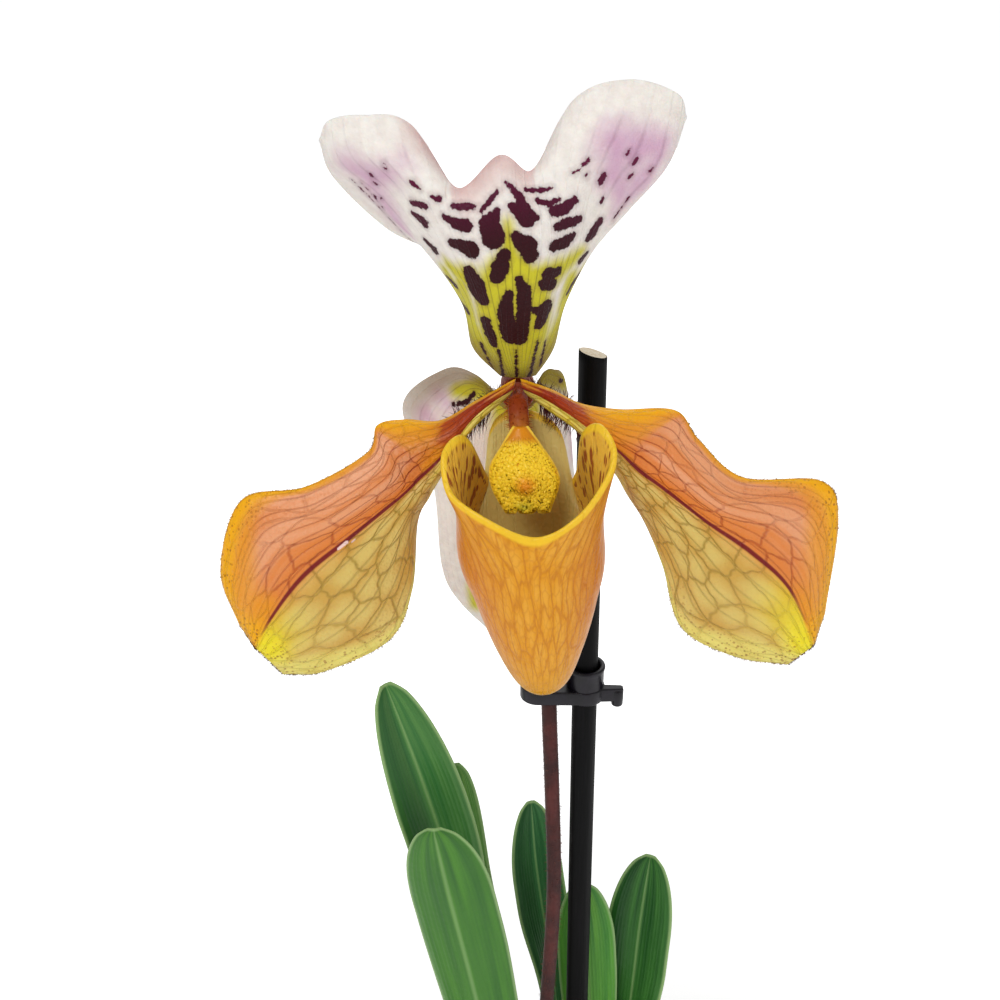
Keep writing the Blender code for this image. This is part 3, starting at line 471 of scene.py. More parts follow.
def mark_distance(grid: Array, strokes: Sequence[Stroke], places: Array | None = None) -> Array:
    """How far each point of a sheet is from the marks on it: negative inside a mark.

    A mark is a stroke of two or more (right, up, radius) points, as they appear from the front. Each is laid
    on the sheet at the point that is seen there, and the distances are measured on the sheet.

    Args:
        grid: The sheet's points.
        strokes: The marks.
        places: Which points may carry marks, as an array of True and False; all of them if left out.

    Returns:
        An array of distances in millimetres.
    """
    seen = VIEW.seen(grid)
    hidden = np.zeros(grid.shape[:2]) if places is None else np.where(places, 0.0, 1e6)
    flat = grid.reshape(-1, 3)
    nearest = np.full(len(flat), 1e3)
    for stroke in strokes:
        ends = []
        for right, up, radius in stroke:
            miss = np.hypot(seen[..., 0] - right, seen[..., 1] - up) + hidden
            ends.append((flat[int(np.argmin(miss))], radius))
        for (start, radius_start), (end, radius_end) in zip(ends, ends[1:] or ends):
            run = end - start
            share = np.clip(((flat - start) @ run) / max(run @ run, 1e-6), 0.0, 1.0)
            radius = radius_start + (radius_end - radius_start) * share
            distance = np.linalg.norm(flat - start - share[:, None] * run, axis=1) - radius
            nearest = np.minimum(nearest, distance)
    return nearest.reshape(grid.shape[:2])


def rings(turn: Array, side: Array, other: Array) -> Array:
    """Unit circles at these turns, one for each pair of directions that spans one."""
    return np.cos(turn)[None, :, None] * side[:, None] + np.sin(turn)[None, :, None] * other[:, None]


def tube_grid(line: Sequence, radii: Sequence[float], rows: int, sides: int) -> Array:
    """A grid round a smooth line.

    Args:
        line: The line's own points.
        radii: The radius at each of them, or at evenly spaced places.
        rows: Rings along it.
        sides: Points in a ring.

    Returns:
        An array of rows by sides points.
    """
    places = np.linspace(0, 1, rows)
    centres = smooth_line(line, places)
    width = np.interp(places, np.linspace(0, 1, len(radii)), radii)
    along = unit(np.gradient(centres, axis=0))
    side = unit(np.cross(along, np.array([0.0, -1.0, 0.2])))
    other = np.cross(along, side)
    turn = np.linspace(0, 2 * math.pi, sides, endpoint=False)
    ring = rings(turn, side, other)
    return centres[:, None] + ring * width[:, None, None]


def capped(name: str, grid: Array, marks: dict[str, Array] | None = None) -> Mesh:
    """A closed mesh of rings, with a flat face at each end.

    Args:
        name: The mesh's name.
        grid: Rings by points.
        marks: Further numbers for each point.

    Returns:
        The mesh, with a UV map, across by along.
    """
    rows, sides = grid.shape[:2]
    index = np.arange(rows * sides).reshape(rows, sides)
    right = np.roll(index, -1, 1)
    quads = np.stack([index[:-1], right[:-1], right[1:], index[1:]], -1).reshape(-1, 4)
    mesh = bpy.data.meshes.new(name)
    faces = [*quads.tolist(), index[0].tolist(), index[-1][::-1].tolist()]
    mesh.from_pydata((grid.reshape(-1, 3) * MM).tolist(), [], faces)
    vertex = index.ravel()
    write_map(mesh, vertex % sides / sides, vertex // sides / (rows - 1), True)
    for label, values in (marks or {}).items():
        write_attribute(mesh, label, values.reshape(-1))
    return tidy_mesh(mesh)


def turned_grid(profile: Sequence[tuple[float, float]], steps: int, middle: Point = (0.0, 0.0, 0.0)) -> Array:
    """A grid of rings about an upright axis.

    Args:
        profile: (radius, height) points down the outline.
        steps: Points in a ring.
        middle: Where the axis stands.

    Returns:
        Rings by points.
    """
    profile_points = np.asarray(profile, float)
    turn = np.linspace(0, 2 * math.pi, steps, endpoint=False)
    radius, height = profile_points[:, :1], profile_points[:, 1:]
    x, y = radius * np.cos(turn), radius * np.sin(turn)
    return np.stack([x, y, height + np.zeros_like(x)], -1) + np.asarray(middle)


@dataclass
class Hairs:
    """Fine hairs as three-sided needles: where each stands, which way it points, and its size."""

    roots: Array
    ways: Array
    lengths: Array
    radius: float
    droop: float = 0.15

    @classmethod
    def of(cls, hairs: HairList, radius: float) -> Hairs:
        """The needles of a list of hairs, all of one radius."""
        roots, ways, lengths = zip(*hairs)
        return cls(np.array(roots), np.array(ways), np.array(lengths), radius)

    def mesh(self, name: str) -> Mesh:
        """One mesh of all the needles.

        Args:
            name: The mesh's name.

        Returns:
            The mesh.
        """
        count = len(self.roots)
        ways = unit(np.asarray(self.ways, float))
        helper = np.where(np.abs(ways[:, 2:3]) > 0.8, [[1.0, 0.0, 0.0]], [[0.0, 0.0, 1.0]])
        side = unit(np.cross(ways, helper))
        other = np.cross(ways, side)
        ring = rings(THIRDS, side, other)
        length = np.asarray(self.lengths, float)[:, None, None]
        root = np.asarray(self.roots, float)[:, None]
        sag = np.array([0.0, 0.0, -self.droop]) * length
        base = root + ring * self.radius
        waist = root + ways[:, None] * length * 0.55 + ring * self.radius * 0.75 + sag * 0.3
        tip = root + ways[:, None] * length + sag
        verts = np.concatenate([base, waist, tip], 1).reshape(-1, 3) * MM
        pattern = [(0, 1, 4, 3), (1, 2, 5, 4), (2, 0, 3, 5), (3, 4, 6), (4, 5, 6), (5, 3, 6), (2, 1, 0)]
        faces = [tuple(corner + 7 * hair for corner in face) for hair in range(count) for face in pattern]
        mesh = bpy.data.meshes.new(name)
        mesh.from_pydata(verts.tolist(), [], faces)
        mesh.shade_smooth()
        return mesh


@dataclass(frozen=True)
class Fringe:
    """Hairs on a sheet's margin (side 0 left, -1 right, 2 tip), where they start and end, and their size."""

    side: int
    start: float
    end: float
    count: int
    length: float
    seed: int
    fall: float = 0.2


# A petal's two kinds of hair: name, radius, light and dark tone, and where they grow
HAIR_GRAIN = 900.0
PETAL_HAIRS = (
    ("_fringe", 0.035, "8A5A1A", "4A1A10", (
        Fringe(side=0, start=0.5, end=1.0, count=620, length=0.5, seed=3),
        Fringe(side=-1, start=0.7, end=1.0, count=420, length=0.5, seed=4),
        Fringe(side=2, start=0.0, end=1.0, count=460, length=0.5, seed=5),
    )),
    ("_fan", 0.06, "6A2A2A", "2A0616", (
        Fringe(side=0, start=0.03, end=0.2, count=60, length=1.9, seed=6),
        Fringe(side=-1, start=0.05, end=0.26, count=130, length=2.9, seed=7, fall=0.7),
    )),
)


def fringe(grid: Array, spec: Fringe) -> HairList:
    """Hairs that stand out of a sheet's margin.

    Args:
        grid: The sheet's points.
        spec: Which margin, and the hairs' size.

    Returns:
        For each hair its root, its way and its length.
    """
    rng = np.random.default_rng(spec.seed)
    if spec.side == 2:
        line, inner = grid[-1], grid[-2]
    else:
        line, inner = grid[:, spec.side], grid[:, 1 if spec.side == 0 else -2]
    hairs = []
    for place in rng.uniform(spec.start, spec.end, spec.count):
        index = min(int(place * (len(line) - 1)), len(line) - 2)
        share = rng.uniform()
        root = line[index] + (line[index + 1] - line[index]) * share
        out = unit(line[index] - inner[index])
        way = out + rng.normal(0.0, 0.35, 3) + np.array([0.0, -0.35, -spec.fall])
        hairs.append((root, way, spec.length * rng.uniform(0.6, 1.2)))
    return hairs


def fuzz(grid: Array, first: int, last: int, count: int, length: float, seed: int) -> HairList:
    """Hairs all round a tube.

    Args:
        grid: The tube's rings.
        first: The first ring that carries hairs.
        last: The last one.
        count: How many hairs.
        length: Their usual length.
        seed: The random seed.

    Returns:
        For each hair its root, its way and its length.
    """
    rng = np.random.default_rng(seed)
    hairs = []
    for _ in range(count):
        ring = grid[rng.integers(first, last)]
        root = ring[rng.integers(0, len(ring))]
        out = unit(root - ring.mean(0))
        hairs.append((root - out * 0.05, out + rng.normal(0.0, 0.25, 3), length * rng.uniform(0.5, 1.2)))
    return hairs


# Node writing


def tone(code: str) -> tuple[float, float, float, float]:
    """A colour from its hexadecimal code, in the linear values that Blender's sockets take."""
    parts = [int(code[place : place + 2], 16) / 255 for place in (0, 2, 4)]
    linear = [part / 12.92 if part <= 0.04045 else ((part + 0.055) / 1.055) ** 2.4 for part in parts]
    return (linear[0], linear[1], linear[2], 1.0)


class Recipe:
    """Writes the nodes of one material or one group."""

    def __init__(self, tree: Tree) -> None:
        """Starts on an empty tree."""
        self.tree = tree

    def node(self, kind: str, **settings: object) -> Node:
        """A new node of a kind, with its settings."""
        made = self.tree.nodes.new(kind)
        for name, value in settings.items():
            setattr(made, name, value)
        return made

    def put(self, socket: Socket, feed: Feed) -> None:
        """Links a socket, or sets its value."""
        if isinstance(feed, Socket):
            self.tree.links.new(feed, socket)
        else:
            socket.default_value = feed

    def maths(self, operation: str, *feeds: Feed) -> Socket:
        """A Math node's result."""
        made = self.node("ShaderNodeMath", operation=operation)
        for socket, feed in zip(made.inputs, feeds):
            self.put(socket, feed)
        return made.outputs[0]

    def times(self, first: Feed, second: Feed) -> Socket:
        """Two numbers multiplied."""
        return self.maths("MULTIPLY", first, second)

    def step(self, value: Feed, low: Feed, high: Feed, start: float = 0.0, end: float = 1.0) -> Socket:
        """A smooth step of a value, from start at low to end at high."""
        made = self.node("ShaderNodeMapRange", interpolation_type="SMOOTHSTEP")
        names = ("Value", "From Min", "From Max", "To Min", "To Max")
        for name, feed in zip(names, (value, low, high, start, end)):
            self.put(made.inputs[name], feed)
        return made.outputs["Result"]

    def mix(self, share: Feed, first: Feed, second: Feed) -> Socket:
        """Two colours mixed."""
        made = self.node("ShaderNodeMix", data_type="RGBA")
        self.put(made.inputs["Factor"], share)
        self.put(made.inputs["A"], first)
        self.put(made.inputs["B"], second)
        return made.outputs["Result"]

    def over(self, colour: Feed, code: str, share: Feed, strength: float | None = None) -> Socket:
        """A colour with another one, given by its code, laid over it where a share is high."""
        return self.mix(share if strength is None else self.times(share, strength), colour, tone(code))

    def mark(self, name: str) -> Socket:
        """A number that the mesh carries for each vertex."""
        return self.node("ShaderNodeAttribute", attribute_name=name).outputs["Fac"]

    def organ(self) -> tuple[Socket, Socket, Socket]:
        """The organ's map: its vector, and the shares across and along."""
        vector = self.node("ShaderNodeUVMap", uv_map=UV_NAME).outputs["UV"]
        split = self.node("ShaderNodeSeparateXYZ")
        self.put(split.inputs[0], vector)
        return vector, split.outputs["X"], split.outputs["Y"]

    def place(self) -> Socket:
        """The place on the object."""
        return self.node("ShaderNodeTexCoord").outputs["Object"]

    def noise(self, vector: Feed, scale: float, detail: float = 3.0, roughness: float = 0.5) -> Socket:
        """A noise's value."""
        made = self.node("ShaderNodeTexNoise")
        self.put(made.inputs["Vector"], vector)
        self.put(made.inputs["Scale"], scale)
        self.put(made.inputs["Detail"], detail)
        self.put(made.inputs["Roughness"], roughness)
        return made.outputs["Fac"]

    def cells(self, vector: Feed, scale: Feed, **settings: object) -> Node:
        """A Voronoi texture's node, with its settings."""
        made = self.node("ShaderNodeTexVoronoi", **settings)
        self.put(made.inputs["Vector"], vector)
        self.put(made.inputs["Scale"], scale)
        return made

    def stretched(self, vector: Feed, scale: Feed) -> Socket:
        """A vector scaled along each axis."""
        made = self.node("ShaderNodeVectorMath", operation="MULTIPLY")
        self.put(made.inputs[0], vector)
        self.put(made.inputs[1], scale)
        return made.outputs[0]

    def group(self, tree: Tree, **feeds: Feed) -> Node:
        """A placed group, its inputs fed by name with spaces written as underscores."""
        made = self.node("ShaderNodeGroup", node_tree=tree)
        for name, feed in feeds.items():
            self.put(made.inputs[name.replace("_", " ")], feed)
        return made


def new_group(
    name: str,
    inputs: Sequence[tuple[str, str, object]],
    outputs: Sequence[tuple[str, str]],
) -> tuple[Tree, Recipe, Node, Node]:
    """An empty node group with named sockets.

    Args:
        name: The group's name.
        inputs: Each input's name, kind and value.
        outputs: Each output's name and kind.

    Returns:
        The group, its recipe, and its input and output nodes.
    """
    tree = bpy.data.node_groups.new(name, "ShaderNodeTree")
    for label, kind, value in inputs:
        socket = tree.interface.new_socket(name=label, in_out="INPUT", socket_type=kind)
        if value is not None:
            socket.default_value = value
    for label, kind in outputs:
        tree.interface.new_socket(name=label, in_out="OUTPUT", socket_type=kind)
    recipe = Recipe(tree)
    return tree, recipe, recipe.node("NodeGroupInput"), recipe.node("NodeGroupOutput")


FLOAT = "NodeSocketFloat"
VECTOR = "NodeSocketVector"


class Effects:
    """The node groups that several finishes share."""

    def __init__(self) -> None:
        """Builds every group once."""
        self.ribs = self.make_ribs()
        self.net = self.make_net()
        self.freckles = self.make_freckles()
        self.grain = self.make_grain()

    def make_ribs(self) -> Tree:
        """Veins that run along an organ, wandering a little. Puts out a mask, 1 on a vein."""
        tree, recipe, given, put_out = new_group(
            "Long veins",
            [("Across", FLOAT, 0.5), ("Vector", VECTOR, None), ("Count", FLOAT, 12.0), ("Width", FLOAT, 0.12),
             ("Wander", FLOAT, 0.4)],
            [("Mask", FLOAT)],
        )
        drift = recipe.noise(recipe.stretched(given.outputs["Vector"], (3.0, 2.2, 1.0)), 2.0, 2.0)
        shift = recipe.times(recipe.maths("SUBTRACT", drift, 0.5), given.outputs["Wander"])
        lane = recipe.maths("MULTIPLY_ADD", given.outputs["Across"], given.outputs["Count"], shift)
        off = recipe.maths("PINGPONG", lane, 0.5)
        recipe.put(put_out.inputs["Mask"], recipe.step(off, 0.0, given.outputs["Width"], 1.0, 0.0))
        return tree

    def make_net(self) -> Tree:
        """A net of cross veins: stretched cells. Puts out a mask, 1 on a vein, and the cells' own shade."""
        tree, recipe, given, put_out = new_group(
            "Net veins",
            [("Vector", VECTOR, None), ("Stretch", VECTOR, (9.0, 5.0, 1.0)), ("Width", FLOAT, 0.06),
             ("Wander", FLOAT, 0.3)],
            [("Mask", FLOAT), ("Shade", FLOAT)],
        )
        scaled = recipe.stretched(given.outputs["Vector"], given.outputs["Stretch"])
        wobble = recipe.node("ShaderNodeTexNoise")
        recipe.put(wobble.inputs["Vector"], scaled)
        recipe.put(wobble.inputs["Scale"], 1.3)
        spread = recipe.node("ShaderNodeCombineXYZ")
        for axis in ("X", "Y"):
            recipe.put(spread.inputs[axis], given.outputs["Wander"])
        moved = recipe.node("ShaderNodeVectorMath", operation="MULTIPLY_ADD")
        for socket, feed in zip(moved.inputs, (wobble.outputs["Color"], spread.outputs[0], scaled)):
            recipe.put(socket, feed)
        cells = recipe.cells(moved.outputs[0], 1.0, feature="DISTANCE_TO_EDGE", voronoi_dimensions="2D")
        middle = recipe.cells(moved.outputs[0], 1.0, feature="F1", voronoi_dimensions="2D")
        mask = recipe.step(cells.outputs["Distance"], 0.0, given.outputs["Width"], 1.0, 0.0)
        recipe.put(put_out.inputs["Mask"], mask)
        recipe.put(put_out.inputs["Shade"], middle.outputs["Distance"])
        return tree

    def make_freckles(self) -> Tree:
        """Small round dots scattered over a surface. Puts out a mask, 1 on a dot."""
        tree, recipe, given, put_out = new_group(
            "Freckles",
            [("Vector", VECTOR, None), ("Scale", FLOAT, 400.0), ("Size", FLOAT, 0.25), ("Share", FLOAT, 0.5)],
            [("Mask", FLOAT)],
        )
        cells = recipe.cells(given.outputs["Vector"], given.outputs["Scale"], feature="F1")
        split = recipe.node("ShaderNodeSeparateColor")
        recipe.put(split.inputs[0], cells.outputs["Color"])
        chosen = recipe.maths("LESS_THAN", split.outputs[0], given.outputs["Share"])
        size = recipe.times(given.outputs["Size"], recipe.maths("ADD", split.outputs[1], 0.4))
        dot = recipe.step(cells.outputs["Distance"], recipe.times(size, 0.6), size, 1.0, 0.0)
        recipe.put(put_out.inputs["Mask"], recipe.times(dot, chosen))
        return tree

    def make_grain(self) -> Tree:
        """Fine uneven grain: tiny cells and soft mottling, as a height and a shade, both about one half."""
        tree, recipe, given, put_out = new_group(
            "Fine grain",
            [("Vector", VECTOR, None), ("Scale", FLOAT, 900.0)],
            [("Height", FLOAT), ("Shade", FLOAT)],
        )
        cells = recipe.cells(given.outputs["Vector"], given.outputs["Scale"], feature="SMOOTH_F1")
        recipe.put(put_out.inputs["Height"], recipe.maths("SUBTRACT", 1.0, cells.outputs["Distance"]))
        soft = recipe.node("ShaderNodeTexNoise")
        recipe.put(soft.inputs["Vector"], given.outputs["Vector"])
        recipe.put(soft.inputs["Scale"], recipe.times(given.outputs["Scale"], 0.22))
        recipe.put(soft.inputs["Detail"], 4.0)
        recipe.put(put_out.inputs["Shade"], soft.outputs["Fac"])
        return tree


@dataclass(frozen=True)
class Surface:
    """What a finish's shader holds besides its colour: constants, in Blender's own units."""

    roughness: float = 0.45
    specular: float = 0.2
    coat: float = 0.0
    coat_roughness: float = 0.2
    flesh: float = 0.0
    flesh_depth: float = 0.001
    sheen: float = 0.0

    def start(self, name: str) -> tuple[Material, Recipe, Node]:
        """A new material with its shader set to these constants.

        Args:
            name: The material's name.

        Returns:
            The material, its recipe and its shader node.
        """
        made = bpy.data.materials.new(name)
        made.use_nodes = True
        shader = made.node_tree.nodes["Principled BSDF"]
        constants = {
            "Roughness": self.roughness,
            "Specular IOR Level": self.specular,
            "Coat Weight": self.coat,
            "Coat Roughness": self.coat_roughness,
            "Sheen Weight": self.sheen,
            "Subsurface Weight": self.flesh,
            "Subsurface Scale": self.flesh_depth,
            "Subsurface Radius": (1.0, 0.6, 0.4),
        }
        for label, value in constants.items():
            shader.inputs[label].default_value = value
        return made, Recipe(made.node_tree), shader


def dress(
    recipe: Recipe,
    shader: Node,
    colour: Feed,
    height: Feed | None = None,
    relief: float = 0.0001,
    roughness: Feed | None = None,
) -> None:
    """Feeds a shader its colour, bump and roughness.

    Args:
        recipe: The material's recipe.
        shader: Its shader.
        colour: The base colour.
        height: The bump's height, or none.
        relief: The bump's distance, in metres.
        roughness: A roughness that changes over the surface, or none.
    """
    recipe.put(shader.inputs["Base Color"], colour)
    if roughness is not None:
        recipe.put(shader.inputs["Roughness"], roughness)
    if height is not None:
        bump = recipe.node("ShaderNodeBump")
        recipe.put(bump.inputs["Distance"], relief)
        recipe.put(bump.inputs["Strength"], 0.8)
        recipe.put(bump.inputs["Height"], height)
        recipe.put(shader.inputs["Normal"], bump.outputs["Normal"])


@dataclass(frozen=True)
class PlainFinish:
    """A finish of two close tones with fine grain, for hairs and small parts."""

    name: str
    light: str
    dark: str
    scale: float = 600.0
    surface: Surface = Surface()
    relief: float = 0.00005

    def material(self, effects: Effects) -> Material:
        """The material."""
        made, recipe, shader = self.surface.start(self.name)
        grain = recipe.group(effects.grain, Vector=recipe.place(), Scale=self.scale)
        share = recipe.step(grain.outputs["Shade"], 0.3, 0.7)
        colour = recipe.mix(share, tone(self.dark), tone(self.light))
        dress(recipe, shader, colour, grain.outputs["Height"], self.relief)
        return made


@dataclass(frozen=True)
class HoodFinish:
    """The hooded sepal: white, lilac on its lobes, yellow-green below, with maroon spots."""

    white: str = "F5F0E9"
    shade: str = "E9E1DA"
    lilac: str = "CE98BE"
    yellow: str = "CFC72C"
    olive: str = "8F8420"
    brown: str = "7A5A22"
    maroon: str = "32040C"
    plum: str = "620A38"
    rose: str = "CF8E8C"

    def material(self, name: str, effects: Effects) -> Material:
        """The material.

        Args:
            name: The material's name.
            effects: The shared groups.

        Returns:
            The material.
        """
        surface = Surface(roughness=0.42, flesh=0.2, flesh_depth=0.001)
        made, recipe, shader = surface.start(name)
        vector, across, along = recipe.organ()
        place = recipe.place()
        grain = recipe.group(effects.grain, Vector=place, Scale=2600.0)
        veins = recipe.group(effects.ribs, Across=across, Vector=vector, Count=26.0, Width=0.14, Wander=0.5)
        white = recipe.mix(recipe.step(grain.outputs["Shade"], 0.2, 0.8), tone(self.shade), tone(self.white))
        blush = recipe.mark("blush")
        uneven = recipe.noise(recipe.stretched(vector, (14.0, 3.0, 1.0)), 1.0, 5.0, 0.6)
        soft = recipe.maths("MULTIPLY_ADD", recipe.maths("SUBTRACT", uneven, 0.5), 9.0, blush)
        flush = recipe.step(soft, 3.4, -3.4)
        colour = recipe.mix(recipe.times(flush, 0.8), white, tone(self.lilac))
        fine = recipe.times(veins.outputs["Mask"], flush)
        colour = recipe.over(colour, self.plum, fine, 0.22)
        gold = recipe.maths("MULTIPLY_ADD", uneven, 3.0, recipe.mark("gold"))
        yellow = recipe.mix(
            recipe.times(veins.outputs["Mask"], 0.6), tone(self.yellow), tone(self.olive)
        )
        colour = recipe.mix(recipe.step(gold, 3.2, 0.3), colour, yellow)
        side = recipe.step(recipe.mark("edge"), 7.5, 2.0)
        side = recipe.times(side, recipe.step(along, 0.55, 0.3))
        colour = recipe.over(colour, self.brown, side, 0.7)
        colour = recipe.over(colour, self.rose, recipe.mark("crest"), 0.6)
        ragged = recipe.noise(place, 1500.0, 3.0)
        spot = recipe.maths("MULTIPLY_ADD", recipe.maths("SUBTRACT", ragged, 0.5), 0.9, recipe.mark("spot"))
        deep = recipe.mix(recipe.step(along, 0.45, 0.8), tone(self.maroon), tone(self.plum))
        halo = recipe.times(recipe.step(spot, 0.9, 0.0), 0.25)
        colour = recipe.over(colour, self.plum, halo)
        colour = recipe.mix(recipe.step(spot, 0.14, -0.1), colour, deep)
        faded = recipe.times(recipe.mark("back"), recipe.step(along, 0.4, 0.65, 0.08, 0.55))
        colour = recipe.mix(faded, colour, white)
        height = recipe.maths("MULTIPLY_ADD", veins.outputs["Mask"], 0.6, grain.outputs["Height"])
        glint = recipe.step(grain.outputs["Height"], 0.5, 0.95, 0.55, 0.3)
        dress(recipe, shader, colour, height, 0.00013, glint)
        return made


@dataclass(frozen=True)
class PetalFinish:
    """A petal: red-orange above its maroon midrib, yellow-tan with a green net below it, golden margins."""

    # pale pinkish orange: partly the petal's own tone, partly a painted sheen
    salmon_and_sheen: str = "EAA274"
    orange: str = "DE780E"
    amber: str = "EC9C10"
    ember: str = "9A2204"
    gold: str = "F5B004"
    tan: str = "CFA44C"
    straw: str = "E6D680"
    hem: str = "F0E878"
    lemon: str = "F0DE1E"
    olive: str = "8E7420"
    midrib: str = "74091C"
    speck: str = "8A3A0C"
    scar: str = "F3D2CC"

    def material(self, name: str, effects: Effects) -> Material:
        """The material.

        Args:
            name: The material's name.
            effects: The shared groups.

        Returns:
            The material.
        """
        surface = Surface(roughness=0.36, flesh=0.15, flesh_depth=0.001, coat=0.12, coat_roughness=0.3)
        made, recipe, shader = surface.start(name)
        vector, across, along = recipe.organ()
        place = recipe.place()
        grain = recipe.group(effects.grain, Vector=place, Scale=1800.0)
        uneven = recipe.noise(recipe.stretched(vector, (9.0, 3.0, 1.0)), 1.0, 4.0)
        veins = recipe.group(effects.ribs, Across=across, Vector=vector, Count=15.0, Width=0.12, Wander=0.7)
        net = recipe.group(effects.net, Vector=vector, Stretch=(10.0, 14.0, 1.0), Width=0.08, Wander=0.5)
        cells = recipe.step(net.outputs["Shade"], 0.75, 0.1)
        upper = self.upper(recipe, veins, net, uneven)
        lower = self.lower(recipe, veins, net, cells)
        colour = recipe.mix(recipe.step(across, 0.48, 0.53), upper, lower)
        edge = recipe.maths("MULTIPLY_ADD", recipe.maths("SUBTRACT", uneven, 0.5), 3.5, recipe.mark("edge"))
        flare = recipe.times(recipe.step(along, 0.2, 0.32, 0.0, 3.6), recipe.step(along, 0.47, 0.38))
        rim_width = recipe.maths("ADD", recipe.step(along, 0.68, 0.9, 0.6, 6.5), flare)
        glow = recipe.step(edge, recipe.times(rim_width, 2.2), rim_width, 0.0, 0.75)
        glow = recipe.times(glow, recipe.step(across, 0.52, 0.46))
        colour = recipe.over(colour, self.amber, glow)
        rim = recipe.step(edge, rim_width, recipe.times(rim_width, 0.25))
        pale = recipe.mix(recipe.step(across, 0.68, 0.9), tone(self.lemon), tone(self.hem))
        margin = recipe.mix(recipe.step(across, 0.45, 0.56), tone(self.gold), pale)
        rim = recipe.times(rim, recipe.step(across, 0.95, 0.6, 0.6, 0.92))
        colour = recipe.mix(rim, colour, margin)
        dots = recipe.group(effects.freckles, Vector=place, Scale=1700.0, Size=0.4, Share=0.7)
        dotted = recipe.times(dots.outputs["Mask"], recipe.step(recipe.mark("edge"), 7.0, 1.5))
        dotted = recipe.times(dotted, recipe.step(along, 0.6, 0.85, 0.0, 0.6))
        colour = recipe.over(colour, self.speck, dotted)
        off_rib = recipe.maths("ABSOLUTE", recipe.maths("SUBTRACT", across, 0.5))
        rib_width = recipe.step(along, 0.1, 0.95, 0.042, 0.013)
        rib = recipe.step(off_rib, rib_width, recipe.times(rib_width, 0.4))
        rib = recipe.times(rib, recipe.step(along, 0.97, 0.88))
        colour = recipe.over(colour, self.midrib, rib, 0.95)
        colour = recipe.over(colour, self.scar, recipe.step(recipe.mark("scar"), 0.1, -0.1))
        height = recipe.maths("MULTIPLY_ADD", net.outputs["Mask"], -0.9, grain.outputs["Height"])
        height = recipe.maths("MULTIPLY_ADD", veins.outputs["Mask"], -0.7, height)
        height = recipe.maths("MULTIPLY_ADD", uneven, 1.2, height)
        dress(recipe, shader, colour, height, 0.0002)
        return made

    def upper(
        self, recipe: Recipe, veins: Node, net: Node, uneven: Socket
    ) -> Socket:
        """The colour above the midrib: ember at the base, a pale pinkish orange further out that is partly
        the petal's tone and partly painted sheen, orange next to the rib.

        Args:
            recipe: The material's recipe.
            veins: The long veins.
            net: The net of cross veins.
            uneven: A soft noise.

        Returns:
            The colour's socket.
        """
        _, across, along = recipe.organ()
        # further out the pale tone is partly painted sheen
        colour = recipe.mix(recipe.step(along, 0.2, 0.5), tone(self.orange), tone(self.salmon_and_sheen))
        blotch = recipe.step(uneven, 0.4, 0.62, 0.0, 0.55)
        colour = recipe.over(colour, self.orange, blotch)
        colour = recipe.over(colour, self.orange, recipe.step(across, 0.3, 0.46, 0.0, 0.75))
        strong = recipe.times(veins.outputs["Mask"], recipe.step(along, 0.35, 0.6, 0.65, 0.3))
        colour = recipe.over(colour, self.ember, strong)
        crossed = recipe.times(net.outputs["Mask"], recipe.step(across, 0.2, 0.42, 0.12, 0.5))
        colour = recipe.over(colour, self.ember, crossed)
        return recipe.over(colour, self.ember, recipe.step(along, 0.48, 0.1, 0.0, 0.92))

    def lower(
        self, recipe: Recipe, veins: Node, net: Node, cells: Socket
    ) -> Socket:
        """The colour below the midrib: lemon at the base, tan cells in an olive net, straw at the tip.

        Args:
            recipe: The material's recipe.
            veins: The long veins.
            net: The net of cross veins.
            cells: A share that is 1 in the middle of the net's cells.

        Returns:
            The colour's socket.
        """
        _, across, along = recipe.organ()
        colour = recipe.mix(recipe.step(along, 0.1, 0.4, 0.45, 1.0), tone(self.lemon), tone(self.tan))
        colour = recipe.over(colour, self.straw, cells, 0.5)
        colour = recipe.over(colour, self.orange, recipe.step(across, 0.6, 0.5, 0.0, 0.4))
        tip = recipe.times(recipe.step(along, 0.8, 0.97, 0.0, 0.85), recipe.step(across, 0.85, 0.6))
        colour = recipe.over(colour, self.lemon, tip)
        streak = recipe.times(veins.outputs["Mask"], recipe.step(along, 0.65, 0.4, 0.0, 0.7))
        colour = recipe.over(colour, self.gold, streak)
        lines = recipe.maths("MAXIMUM", recipe.times(veins.outputs["Mask"], 0.7), net.outputs["Mask"])
        lines = recipe.times(lines, recipe.step(along, 0.92, 0.72, 0.12, 0.55))
        return recipe.over(colour, self.olive, lines)


